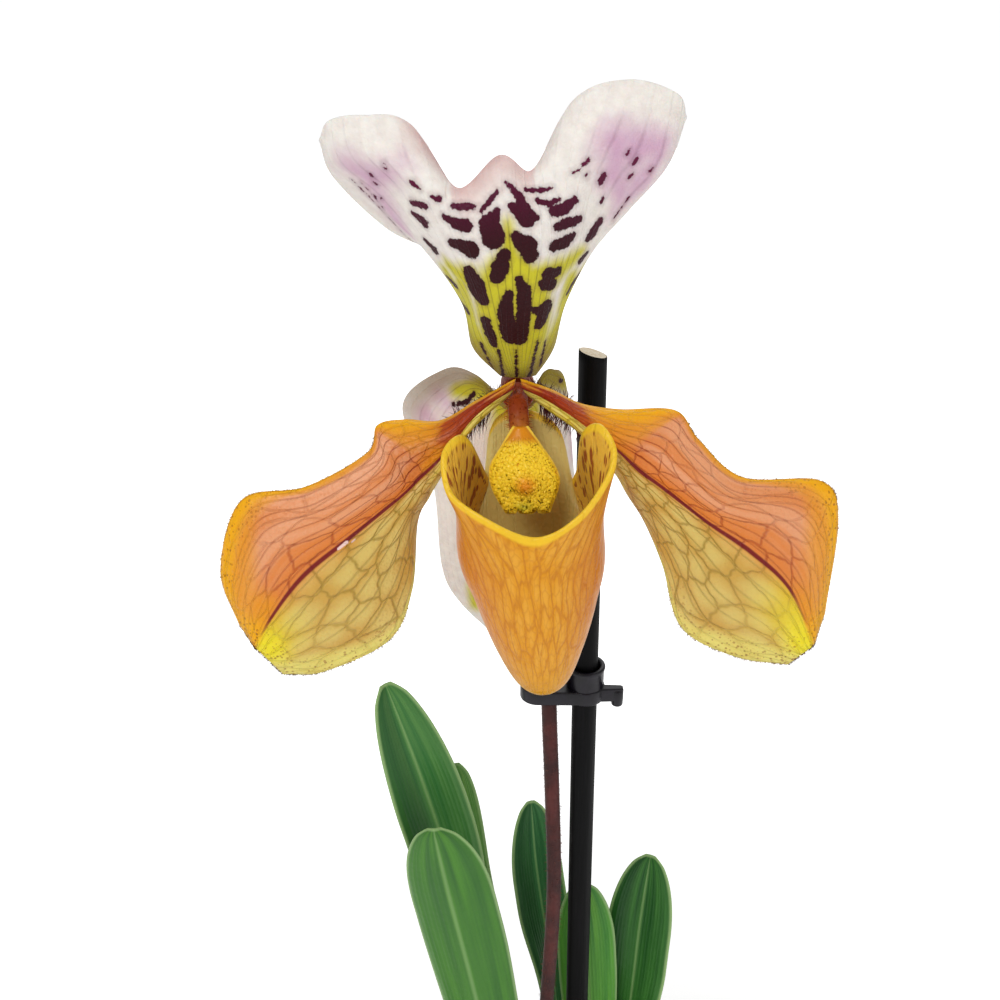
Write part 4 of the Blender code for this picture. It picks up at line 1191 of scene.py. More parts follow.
@dataclass(frozen=True)
class LipFinish:
    """The pouch: golden orange with a net of streaks, a yellow rim, an ochre toe and freckled ears."""

    gold: str = "E29A1C"
    pale: str = "EDAE3C"
    streak: str = "B8640E"
    flush: str = "CC6420"
    toe: str = "D99A12"
    rim: str = "F8CB2E"
    inside: str = "D8C878"
    ear: str = "EFB42A"
    freckle: str = "8A1E0C"

    def material(self, effects: Effects) -> Material:
        """The material."""
        surface = Surface(roughness=0.33, flesh=0.15, flesh_depth=0.0012, coat=0.14, coat_roughness=0.28)
        made, recipe, shader = surface.start("pouch_golden")
        vector, across, along = recipe.organ()
        place = recipe.place()
        grain = recipe.group(effects.grain, Vector=place, Scale=1600.0)
        net = recipe.group(effects.net, Vector=vector, Stretch=(46.0, 7.0, 1.0), Width=0.14, Wander=0.8)
        fine = recipe.group(effects.net, Vector=vector, Stretch=(90.0, 20.0, 1.0), Width=0.2, Wander=0.8)
        fade = recipe.step(along, 0.85, 0.5)
        colour = recipe.mix(recipe.step(along, 0.5, 0.9), tone(self.gold), tone(self.toe))
        cells = recipe.times(recipe.step(net.outputs["Shade"], 0.6, 0.1), fade)
        colour = recipe.over(colour, self.pale, cells, 0.6)
        streak = recipe.times(net.outputs["Mask"], fade)
        colour = recipe.over(colour, self.streak, streak, 0.4)
        thin = recipe.times(fine.outputs["Mask"], recipe.step(along, 0.95, 0.4, 0.08, 0.25))
        colour = recipe.over(colour, self.streak, thin)
        turned_away = recipe.step(recipe.maths("ABSOLUTE", recipe.maths("SUBTRACT", across, 0.5)), 0.46, 0.32)
        sides = recipe.times(turned_away, recipe.step(along, 0.75, 0.3, 0.1, 0.5))
        colour = recipe.over(colour, self.flush, sides)
        inner = recipe.step(recipe.mark("back"), 0.4, 0.6)
        colour = recipe.over(colour, self.inside, inner, 0.85)
        ear = recipe.times(recipe.mark("ear"), inner)
        colour = recipe.over(colour, self.ear, ear, 0.8)
        rows = recipe.stretched(vector, (105.0, 40.0, 1.0))
        dots = recipe.group(effects.freckles, Vector=rows, Scale=1.0, Size=0.6, Share=0.75)
        spotted = recipe.times(dots.outputs["Mask"], ear)
        colour = recipe.over(colour, self.freckle, spotted, 0.85)
        rim = recipe.step(recipe.mark("edge"), 1.5, 0.7)
        colour = recipe.over(colour, self.rim, rim, 0.9)
        colour = recipe.over(colour, self.freckle, recipe.step(recipe.mark("spot"), 0.15, -0.1, 0.0, 0.8))
        height = recipe.maths("MULTIPLY_ADD", net.outputs["Mask"], -0.5, grain.outputs["Height"])
        dress(recipe, shader, colour, height, 0.00016)
        return made


@dataclass(frozen=True)
class ShieldFinish:
    """The shield: bright warts on deep gold, an orange knob and a green patch under it."""

    wart: str = "FFD02A"
    gap: str = "D8860A"
    knob: str = "E2760E"
    patch: str = "A9AE2A"
    rim: str = "FFD94A"

    def material(self, effects: Effects) -> Material:
        """The material."""
        made, recipe, shader = Surface(roughness=0.38, flesh=0.1, coat=0.08).start("shield_gold")
        grain = recipe.group(effects.grain, Vector=recipe.place(), Scale=2400.0)
        colour = recipe.mix(recipe.step(recipe.mark("wart"), 0.1, 0.8), tone(self.gap), tone(self.wart))
        colour = recipe.over(colour, self.knob, recipe.mark("knob"), 0.8)
        colour = recipe.over(colour, self.patch, recipe.mark("patch"), 0.65)
        colour = recipe.over(colour, self.rim, recipe.step(recipe.mark("edge"), 0.7, 0.2, 0.0, 0.8))
        dress(recipe, shader, colour, grain.outputs["Height"], 0.00006)
        return made


@dataclass(frozen=True)
class ColumnFinish:
    """The column: red-brown where the petals meet, golden further down and pale green under the shield."""

    red: str = "8C3410"
    gold: str = "D98E24"
    pale: str = "C9BD5A"

    def material(self, effects: Effects) -> Material:
        """The material."""
        made, recipe, shader = Surface(roughness=0.45, flesh=0.1).start("column_red_gold")
        _, _, along = recipe.organ()
        grain = recipe.group(effects.grain, Vector=recipe.place(), Scale=1400.0)
        blotch = recipe.maths("MULTIPLY_ADD", grain.outputs["Shade"], 0.12, along)
        colour = recipe.mix(recipe.step(blotch, 0.6, 0.8), tone(self.red), tone(self.gold))
        colour = recipe.over(colour, self.pale, recipe.step(blotch, 0.95, 1.05))
        dress(recipe, shader, colour, grain.outputs["Height"], 0.00014)
        return made


@dataclass(frozen=True)
class LeafFinish:
    """A leaf: green with fine veins along it, a pale margin, a soft gloss, a bluish sheen painted into the
    colour of its back face and painted shade along one side.
    """

    light: str = "4C8432"
    dark: str = "265A20"
    margin: str = "A9CB86"
    # the bluish tone of the sheen that is painted over the back face
    bloom: str = "86AD92"
    deep: str = "1E4A20"
    # how strongly that painted sheen is laid over the back face
    bluish: float = 0.08
    shaded: tuple[float, float] = (0.05, 0.0)

    def material(self, name: str, effects: Effects) -> Material:
        """The material.

        Args:
            name: The material's name.
            effects: The shared groups.

        Returns:
            The material.
        """
        surface = Surface(roughness=0.36, specular=0.18, flesh=0.05, flesh_depth=0.001, coat=0.04)
        made, recipe, shader = surface.start(name)
        vector, across, along = recipe.organ()
        grain = recipe.group(effects.grain, Vector=recipe.place(), Scale=700.0)
        veins = recipe.group(effects.ribs, Across=across, Vector=vector, Count=19.0, Width=0.4, Wander=0.2)
        share = recipe.step(recipe.noise(recipe.stretched(vector, (7.0, 1.6, 1.0)), 1.0, 3.0), 0.3, 0.7)
        colour = recipe.mix(share, tone(self.dark), tone(self.light))
        colour = recipe.over(colour, self.light, veins.outputs["Mask"], 0.1)
        shadow = recipe.step(across, self.shaded[0], self.shaded[1], 0.0, 0.6)
        colour = recipe.over(colour, self.deep, shadow)
        middle = recipe.step(recipe.maths("ABSOLUTE", recipe.maths("SUBTRACT", across, 0.5)), 0.04, 0.0)
        colour = recipe.over(colour, self.margin, middle, 0.35)
        rim = recipe.step(recipe.mark("edge"), 0.8, 0.1)
        colour = recipe.over(colour, self.margin, rim, 0.7)
        # painted sheen: a bluish tone laid over the back face
        colour = recipe.over(colour, self.bloom, recipe.times(recipe.mark("back"), self.bluish))
        height = recipe.maths("MULTIPLY_ADD", veins.outputs["Mask"], 0.6, grain.outputs["Height"])
        dress(recipe, shader, colour, height, 0.0001, recipe.step(grain.outputs["Shade"], 0.3, 0.7, 0.3, 0.4))
        return made


@dataclass(frozen=True)
class BarkFinish:
    """Bark: dark brown layers with paler broken edges."""

    dark: str = "2A170E"
    brown: str = "5E3A22"
    pale: str = "A87C50"

    def material(self, effects: Effects) -> Material:
        """The material."""
        made, recipe, shader = Surface(roughness=0.85, specular=0.2).start("bark_brown")
        place = recipe.place()
        grain = recipe.group(effects.grain, Vector=place, Scale=420.0)
        layers = recipe.noise(recipe.stretched(place, (160.0, 160.0, 900.0)), 1.0, 6.0, 0.65)
        colour = recipe.mix(recipe.step(layers, 0.35, 0.6), tone(self.dark), tone(self.brown))
        colour = recipe.over(colour, self.pale, recipe.step(layers, 0.6, 0.78, 0.0, 0.8))
        height = recipe.maths("MULTIPLY_ADD", layers, 2.0, grain.outputs["Height"])
        dress(recipe, shader, colour, height, 0.0006)
        return made


@dataclass(frozen=True)
class GlazeFinish:
    """The pot's stoneware glaze: cream with iron specks, browner where it thins at the rim and the foot."""

    cream: str = "DDD5C6"
    shade: str = "C9BEAB"
    speck: str = "6A4A2C"
    thin: str = "A3825C"
    height: float = 96.0

    def material(self, effects: Effects) -> Material:
        """The material."""
        surface = Surface(roughness=0.35, coat=0.45, coat_roughness=0.12)
        made, recipe, shader = surface.start("pot_stoneware")
        place = recipe.place()
        grain = recipe.group(effects.grain, Vector=place, Scale=260.0)
        colour = recipe.mix(recipe.step(grain.outputs["Shade"], 0.3, 0.7), tone(self.shade), tone(self.cream))
        dots = recipe.group(effects.freckles, Vector=place, Scale=420.0, Size=0.3, Share=0.22)
        colour = recipe.over(colour, self.speck, dots.outputs["Mask"], 0.75)
        split = recipe.node("ShaderNodeSeparateXYZ")
        recipe.put(split.inputs[0], place)
        wavy = recipe.maths("MULTIPLY_ADD", grain.outputs["Shade"], 0.004, split.outputs["Z"])
        top = self.height * MM
        high, low = recipe.step(wavy, top - 0.002, top + 0.001), recipe.step(wavy, 0.006, 0.003)
        worn = recipe.maths("ADD", high, low)
        colour = recipe.over(colour, self.thin, worn, 0.7)
        dress(recipe, shader, colour, grain.outputs["Height"], 0.00008)
        return made


# The flower


@dataclass
class Flower:
    """The open bloom: hood, lower sepal, two petals, pouch, column and shield."""

    effects: Effects
    sepal_thickness: float = 0.9
    petal_thickness: float = 0.9
    lip_thickness: float = 1.1
    staminode_thickness: float = 1.2
    petal_bulge: float = 1.6

    def build(self) -> None:
        """Builds every organ."""
        self.hood()
        self.lower_sepal()
        self.petal("petal_left", LEFT_PETAL, LEFT_SCARS)
        self.petal("petal_right", RIGHT_PETAL, ())
        self.pouch()
        self.column()
        self.shield()

    def hood(self) -> None:
        """The hooded sepal with its spots."""
        grid = smooth_net(bloom(DORSAL_SEPAL), 150, 130)
        rolled = round(0.1 * grid.shape[1])
        front = np.zeros(grid.shape[:2], bool)
        front[:, rolled:-rolled] = True
        marks = {
            "spot": np.minimum(mark_distance(grid, SPOTS + STRIPES, front), mark_distance(grid, EDGE_LINES)),
            "blush": mark_distance(grid, BLUSHES),
            "gold": mark_distance(grid, GOLDEN_BASE, front),
            "crest": self.crest(grid),
        }
        skin = Skin(grid, self.sepal_thickness, marks=marks)
        finish = HoodFinish().material("hood_spotted", self.effects)
        add_piece("hood", skin.mesh("hood"), finish, Slot.SEPAL, "dorsal_sepal")

    def crest(self, grid: Array) -> Array:
        """The hem between the hood's lobes: 1 on the line where its middle rolls back, 0 away from it."""
        top = np.argmax(VIEW.seen(grid)[..., 1], axis=0)
        line = grid[top, np.arange(grid.shape[1])]
        away = np.linalg.norm(grid - line[None], axis=2)
        middle = ease(np.abs(np.linspace(-1, 1, grid.shape[1]) + 0.06), 0.44, 0.3)
        return ease(away, 8.0, 1.0) * middle[None, :]

    def lower_sepal(self) -> None:
        """The lower sepal behind the pouch."""
        grid = smooth_net(bloom(SYNSEPAL), 90, 60)
        marks = {
            "spot": mark_distance(grid, LOWER_SPOTS),
            "blush": mark_distance(grid, LOWER_BLUSHES),
            "gold": mark_distance(grid, LOWER_GOLD),
            "crest": np.zeros(grid.shape[:2]),
        }
        skin = Skin(grid, self.sepal_thickness, marks=marks)
        finish = HoodFinish().material("lower_sepal_white", self.effects)
        add_piece("lower_sepal", skin.mesh("lower_sepal"), finish, Slot.SEPAL, "synsepal")

    def petal(self, name: str, rows: Rows, scars: Sequence[Stroke]) -> None:
        """A petal with a midrib in a groove and two rounded halves, and hairs on its margin.

        Args:
            name: The CAD node that it stands for.
            rows: Its cage.
            scars: Small pale scars on it.
        """
        cage = bloom(rows)
        share = np.sin(np.linspace(0, 1, len(cage)) * math.pi) ** 0.6
        bulge = np.stack([np.zeros(len(cage)), -self.petal_bulge * share, np.zeros(len(cage))], 1)
        upper = (cage[:, 0] + cage[:, 1]) / 2 + bulge
        lower = (cage[:, 1] + cage[:, 2]) / 2 + bulge
        five = np.stack([cage[:, 0], upper, cage[:, 1], lower, cage[:, 2]], 1)
        grid = smooth_net(five, 150, 100)
        skin = Skin(grid, self.petal_thickness, marks={"scar": mark_distance(grid, scars)})
        finish = PetalFinish().material(name + "_orange", self.effects)
        add_piece(name + "_fine", skin.mesh(name), finish, Slot.PETAL, name)
        for label, radius, light, dark, fringes in PETAL_HAIRS:
            hairs = [hair for spec in fringes for hair in fringe(grid, spec)]
            finish = PlainFinish(name + label, light, dark, HAIR_GRAIN).material(self.effects)
            add_piece(name + label, Hairs.of(hairs, radius).mesh(name), finish, Slot.PETAL)

    def pouch(self) -> None:
        """The pouch: an open cup whose rim rises in two ears and at its back."""
        around = len(LIP_RIM)
        turns = [math.radians(-90 + 360 * step / around) for step in range(around)]
        rows = [list(LIP_RIM)]
        for height, x, y, half_width, half_depth in LIP_RINGS:
            rows.append([(x + half_width * math.cos(a), y + half_depth * math.sin(a), height) for a in turns])
        places = np.concatenate([np.linspace(0, 0.96, 90), np.linspace(0.97, 0.995, 6)])
        down = smooth_line(bloom(rows), places)
        wrapped = np.concatenate([down[:, -2:], down, down[:, :3]], 1)
        spots = (2 + np.linspace(0, around, 160, endpoint=False)) / (wrapped.shape[1] - 1)
        grid = np.swapaxes(smooth_line(np.swapaxes(wrapped, 0, 1), spots), 0, 1)
        across = np.linspace(0, 1, 160, endpoint=False)
        ears = np.maximum(ease(np.abs(across - 0.22), 0.17, 0.08), ease(np.abs(across - 0.79), 0.17, 0.08))
        depth = ease(np.linspace(0, 1, len(places)), 0.5, 0.22)
        marks = {"ear": depth[:, None] * ears[None, :], "spot": mark_distance(grid, POUCH_SPOTS)}
        skin = Skin(grid, self.lip_thickness, closed=True, edge_share=0.6, marks=marks)
        add_piece("pouch", skin.mesh("pouch"), LipFinish().material(self.effects), Slot.LIP, "lip")

    def column(self) -> None:
        """The column with the stigma under it."""
        grid = tube_grid(bloom(COLUMN_LINE), COLUMN_RADII, 60, 32)
        finish = ColumnFinish().material(self.effects)
        add_piece("column_fine", capped("column", grid), finish, Slot.COLUMN, "column")
        hairs = Hairs.of(fuzz(grid, 18, 52, 420, 1.1, 21), 0.05)
        rust = PlainFinish("column_hair_rust", "D2691A", "8A3410", HAIR_GRAIN).material(self.effects)
        add_piece("column_hairs", hairs.mesh("column_hairs"), rust, Slot.COLUMN)

    def shield(self) -> None:
        """The shield over the mouth: an arched plate full of warts, with a knob in its middle."""
        grid = smooth_net(bloom(STAMINODE), 110, 100)
        across = np.linspace(0, 1, 101)[None, :]
        along = np.linspace(0, 1, 111)[:, None]
        knob = np.exp(-(((across - 0.5) / 0.12) ** 2) - ((along - 0.52) / 0.09) ** 2)
        notches = np.exp(-(((across - 0.3) / 0.05) ** 2)) + np.exp(-(((across - 0.7) / 0.05) ** 2))
        grid[:, :, 2] += 1.0 * notches * ease(along, 0.82, 1.0)
        rng = np.random.default_rng(5)
        bumps = np.zeros(grid.shape[:2])
        for left, down in rng.uniform(0.03, 0.97, (1100, 2)):
            bump = np.exp(-(((across - left) / 0.021) ** 2) - ((along - down) / 0.018) ** 2)
            bumps = np.maximum(bumps, bump)
        bumps *= 1 - ease(along, 0.18, 0.05)
        grid[:, :, 1] -= 0.8 * knob + 0.36 * bumps
        patch = np.exp(-(((across - 0.45) / 0.13) ** 2) - ((along - 0.83) / 0.08) ** 2)
        skin = Skin(grid, self.staminode_thickness, marks={"wart": bumps, "knob": knob, "patch": patch})
        finish = ShieldFinish().material(self.effects)
        add_piece("shield", skin.mesh("shield"), finish, Slot.COLUMN, "staminode")


# Marks on the sepals: strokes of (right, up, radius), read off the front of the bloom

SPOTS: tuple[Stroke, ...] = (
    ((-17.6, 33.8, 0.38), (-16.0, 32.5, 0.21)),
    ((-17.3, 30.4, 0.54), (-15.2, 29.7, 0.59)),
    ((-17.4, 28.6, 0.42), (-15.3, 27.0, 0.84)),
    ((-15.2, 24.4, 0.38), (-13.5, 22.4, 0.79)),
    ((-14.2, 31.4, 0.21), (-13.0, 30.7, 0.38)),
    ((-10.7, 29.5, 0.46), (-8.0, 29.5, 0.54), (-6.9, 29.6, 0.21)),
    ((-12.2, 27.9, 0.46), (-10.5, 26.9, 0.75), (-8.6, 26.3, 1.00)),
    ((-10.9, 23.7, 0.67), (-9.2, 23.0, 1.00), (-7.5, 22.4, 1.38)),
    ((-3.5, 32.0, 0.25), (-4.9, 30.2, 0.46), (-5.9, 28.8, 0.33)),
    ((-3.5, 28.9, 0.50), (-4.6, 26.7, 1.59), (-4.0, 24.5, 1.76)),
    ((-11.5, 18.2, 0.40), (-10.0, 16.4, 0.66)),
    ((-7.8, 18.5, 1.17), (-6.8, 16.4, 1.76), (-5.7, 14.2, 1.25)),
    ((-9.4, 14.4, 0.50), (-8.0, 12.0, 0.66)),
    ((-2.2, 21.8, 0.92), (-3.0, 19.3, 1.34), (-3.5, 17.8, 1.00)),
    ((-5.2, 10.5, 0.92), (-4.3, 8.2, 0.92), (-3.8, 6.7, 0.54)),
    ((-1.5, 15.1, 0.71), (-2.1, 12.2, 1.25), (-1.3, 8.0, 1.34)),
    ((0.0, 17.7, 0.59), (0.8, 15.5, 1.13), (0.8, 12.2, 1.13), (0.3, 7.6, 1.13)),
    ((4.3, 12.8, 1.38), (3.5, 10.1, 1.00)),
    ((2.2, 12.4, 0.50), (3.5, 12.2, 0.84)),
    ((4.9, 18.3, 1.17), (6.4, 18.8, 0.75)),
    ((4.1, 16.6, 1.09), (5.4, 16.8, 1.00)),
    ((-0.4, 24.5, 0.84), (1.5, 23.1, 1.59), (1.9, 21.4, 1.17)),
    ((-2.0, 33.6, 0.21), (0.1, 31.0, 0.63), (0.8, 29.5, 0.84)),
    ((-1.3, 29.5, 0.50), (1.6, 27.6, 1.46), (2.6, 27.6, 0.63)),
    ((1.2, 32.3, 0.29), (3.5, 32.0, 0.38), (5.8, 32.5, 0.17)),
    ((3.1, 30.5, 0.38), (4.9, 30.0, 0.50), (7.0, 30.7, 0.29)),
    ((9.1, 30.6, 0.63), (7.5, 29.3, 0.96), (5.6, 28.8, 0.75)),
    ((10.0, 27.8, 0.59), (8.1, 26.9, 0.88), (6.3, 26.1, 0.59)),
    ((8.9, 24.9, 0.59), (7.5, 23.7, 1.05), (5.6, 22.9, 0.84)),
    ((13.5, 27.2, 0.63), (12.0, 25.2, 1.00), (11.4, 24.5, 0.71)),
    ((11.2, 22.0, 0.45), (10.1, 20.4, 0.65)),
    ((9.8, 18.6, 0.45), (8.7, 16.9, 0.62), (7.8, 15.0, 0.45)),
    ((14.1, 31.0, 0.25), (13.5, 30.4, 0.33)),
    ((13.8, 35.0, 0.54), (13.6, 33.7, 0.59)),
    ((11.5, 35.2, 0.21), (11.0, 34.7, 0.29)),
    ((11.5, 37.3, 0.33), (10.9, 36.4, 0.33)),
    ((10.2, 35.8, 0.17), (9.3, 35.3, 0.25)),
    ((18.2, 39.0, 0.25), (17.9, 38.3, 0.29)),
    ((19.4, 37.7, 0.29), (18.9, 37.1, 0.29)),
    ((19.0, 35.3, 0.21), (18.4, 34.6, 0.33)),
    ((22.2, 36.2, 0.13), (21.9, 35.7, 0.21)),
    ((16.1, 28.4, 0.17), (15.9, 28.1, 0.17)),
    ((-24.6, 35.4, 0.21), (-24.0, 35.0, 0.25)),
    ((-24.0, 34.0, 0.17), (-23.6, 33.5, 0.21)),
    ((-22.1, 36.9, 0.17), (-21.8, 36.3, 0.21)),
    ((-23.8, 31.6, 0.17), (-23.3, 31.3, 0.13)),
    ((-22.7, 31.3, 0.13), (-22.6, 31.1, 0.13)),
)
STRIPES: tuple[Stroke, ...] = (
    ((-3.1, 5.9, 0.21), (-2.4, 0.7, 0.25)),
    ((-0.4, 5.9, 0.17), (-0.2, 1.5, 0.17)),
    ((3.1, 7.4, 0.25), (1.8, 0.9, 0.29)),
    ((-5.9, 6.8, 0.33), (-4.3, 2.2, 0.21)),
    ((4.3, 7.2, 0.25), (3.5, 3.4, 0.21)),
)
EDGE_LINES: tuple[Stroke, ...] = (
    ((-27.7, 34.4, 0.08), (-24.3, 31.0, 0.09), (-21.0, 27.7, 0.08), (-16.8, 23.5, 0.08)),
    ((-26.2, 33.9, 0.07), (-22.2, 29.5, 0.07)),
    ((18.3, 31.2, 0.09), (16.0, 27.9, 0.08), (13.3, 24.7, 0.07)),
)
GOLDEN_BASE: tuple[Stroke, ...] = (
    ((-0.5, 1.3, 4.60), (-0.8, 12.6, 6.27), (-1.3, 16.8, 4.60)),
    ((-11.4, 19.9, 0.84), (-8.0, 17.4, 2.09)),
    ((10.6, 22.4, 0.75), (7.0, 19.3, 1.88), (3.3, 16.8, 3.34)),
    ((-1.7, 26.6, 0.29), (-1.5, 23.1, 1.17), (-1.3, 18.9, 2.51)),
    ((-11.8, 19.0, 1.3), (-9.3, 14.5, 2.6), (-7.0, 8.0, 3.2), (-5.5, 3.0, 2.8)),
    ((10.6, 19.2, 1.2), (8.2, 14.5, 2.6), (6.2, 8.0, 3.2), (5.0, 3.0, 2.8)),
    ((-9.0, 16.6, 1.8), (-7.5, 10.5, 2.4)),
    ((8.6, 17.6, 1.6), (6.8, 10.5, 2.4)),
)
BLUSHES: tuple[Stroke, ...] = (
    ((-28.1, 36.4, 1.51), (-23.9, 34.4, 2.34), (-21.0, 35.6, 1.17)),
    ((-24.3, 33.5, 2.09), (-20.6, 28.5, 1.42), (-18.7, 26.3, 0.75)),
    ((16.4, 40.2, 1.92), (15.4, 34.8, 2.34), (16.7, 31.4, 1.51), (15.8, 28.9, 0.75)),
    ((19.6, 38.5, 2.76), (23.8, 40.0, 1.51), (20.8, 34.4, 1.92), (17.9, 30.6, 0.92)),
)
LOWER_SPOTS: tuple[Stroke, ...] = (
    ((-10.4, -3.7, 0.45), (-8.7, -3.1, 0.5), (-7.2, -1.7, 0.35)),
    ((6.7, 0.3, 0.45), (7.1, 0.4, 0.35)),
    ((8.7, -7.9, 0.3), (8.7, -8.3, 0.25)),
)
LOWER_BLUSHES: tuple[Stroke, ...] = (
    ((-15.4, -5.0, 1.3), (-14.0, -6.5, 0.9)),
    ((-13.2, -1.6, 0.8), (-11.5, -3.4, 0.6)),
    ((8.8, -7.5, 0.8), (9.2, -12.0, 0.6)),
)
LOWER_GOLD: tuple[Stroke, ...] = (
    ((0.0, -4.0, 5.0), (0.0, -24.0, 4.0)),
    ((-10.0, -1.2, 1.3), (-5.0, -1.0, 2.4)),
    ((3.7, 1.5, 2.4), (8.0, 0.3, 1.6)),
    ((-7.2, -34.0, 0.9), (-7.0, -37.0, 0.8)),
)
LEFT_SCARS: tuple[Stroke, ...] = (
    ((-30.2, -27.9, 0.22), (-28.6, -26.7, 0.28)),
    ((-27.6, -26.5, 0.12), (-27.2, -26.2, 0.1)),
)
POUCH_SPOTS: tuple[Stroke, ...] = (
    ((6.4, -42.8, 0.4), (6.7, -42.5, 0.35)),
    ((8.2, -29.6, 0.25), (8.4, -29.4, 0.2)),
)


# Stem, ovary and bract


@dataclass
class FlowerStem:
    """The hairy stem, the ovary that carries the bloom, and the bract behind it."""

    effects: Effects
    radius: float = 1.75
    line: tuple[Point, ...] = (
        (-9.0, 7.0, 104.4), (-8.3, 6.0, 125.0), (-6.0, 4.4, 150.0), (-4.6, 4.0, 176.0), (-3.8, 4.2, 207.0),
        (-4.8, 4.6, 236.0), (-6.0, 4.8, 262.0), (-6.8, 4.9, 296.0),
    )
    ovary_line: tuple[Point, ...] = (
        (-6.8, 4.9, 296.4), (-8.2, 4.6, 309.0), (-10.3, 1.6, 323.0), (-12.4, -5.0, 336.0),
        (-13.6, -11.5, 342.6), (-14.0, -16.2, 344.2),
    )
    ovary_radii: tuple[float, ...] = (1.7, 2.1, 2.5, 2.6, 2.3, 2.2)
    bract_line: tuple[Point, ...] = (
        (-6.6, 8.6, 289.0), (-7.4, 9.8, 300.0), (-9.2, 9.4, 311.0), (-10.6, 7.6, 321.0),
    )
    bract_widths: tuple[float, ...] = (2.6, 4.2, 3.6, 0.6)

    def build(self) -> None:
        """Builds the three parts."""
        skin = Surface(roughness=0.55, sheen=0.2)
        stem = PlainFinish("stem_maroon", "5A2420", "36110F", 700.0, skin, 0.0001)
        grid = tube_grid(self.line, [self.radius] * 2, 260, 28)
        add_piece("scape_fine", capped("scape", grid), stem.material(self.effects), Slot.STEM, "scape")
        down = fuzz(grid, 0, 259, 2600, 0.75, 31)
        grid = tube_grid(self.ovary_line, self.ovary_radii, 120, 36)
        down += fuzz(grid, 0, 119, 800, 0.9, 32)
        turn = np.linspace(0, 2 * math.pi, 36, endpoint=False)
        centre = grid.mean(1, keepdims=True)
        grid = centre + (grid - centre) * (1 + 0.06 * np.cos(6 * turn))[None, :, None]
        skin = Surface(roughness=0.5, sheen=0.2)
        ovary = PlainFinish("ovary_brown", "8C7A3A", "5A3420", 600.0, skin, 0.0001)
        add_piece("ovary_fine", capped("ovary", grid), ovary.material(self.effects), Slot.STEM, "ovary")
        fine = PlainFinish("stem_down", "9A5A4A", "4A1A18", HAIR_GRAIN).material(self.effects)
        add_piece("stem_hairs", Hairs.of(down, 0.04).mesh("stem_hairs"), fine, Slot.STEM)
        faces = ((0.0, -1.0, 0.0), (-0.3, -1.0, -0.4))
        bract = folded_grid(self.bract_line, self.bract_widths, *faces, (0.5, 0.3), 60, 20)
        green = LeafFinish(light="8FA045", dark="5F6F2C", margin="B8A86A")
        finish = green.material("bract_green", self.effects)
        add_piece("bract_fine", Skin(bract, 0.8).mesh("bract"), finish, Slot.LEAF, "bract")


def folded_grid(
    line: Sequence[Point],
    widths: Sequence[float],
    base_face: Point,
    tip_face: Point,
    channels: tuple[float, float],
    long: int,
    wide: int,
) -> Array:
    """The grid of a long blade folded along its middle line.

    Args:
        line: Its middle line.
        widths: Its half widths, base to tip.
        base_face: The way its upper face looks at the base.
        tip_face: The way it looks at the tip.
        channels: The fold's depth at the base and the tip, as shares of the half width.
        long: Cells along it.
        wide: Cells across it.

    Returns:
        The grid of points.
    """
    count = len(widths)
    places = np.linspace(0, 1, count)
    centres = smooth_line(line, places)
    tangents = np.gradient(centres, axis=0)
    rows = []
    for index, place in enumerate(places):
        along = Vector(tangents[index]).normalized()
        face = Vector(base_face).normalized().lerp(Vector(tip_face).normalized(), min(1.0, place * 1.6))
        side = along.cross(face).normalized()
        face = side.cross(along).normalized()
        depth = (channels[0] + (channels[1] - channels[0]) * place) * widths[index]
        row = []
        for share in (-1.0, -0.5, 0.0, 0.5, 1.0):
            rise = depth * abs(share) ** 1.3
            row.append(tuple(Vector(centres[index]) + side * (widths[index] * share) + face * rise))
        rows.append(row)
    return smooth_net(rows, long, wide)


# Leaves


@dataclass(frozen=True)
class LeafShape:
    """One leaf: its node, middle line and half width, and the way its upper face looks at base and tip."""

    node: str
    line: tuple[Point, ...]
    half_width: float
    base_face: Point
    tip_face: Point


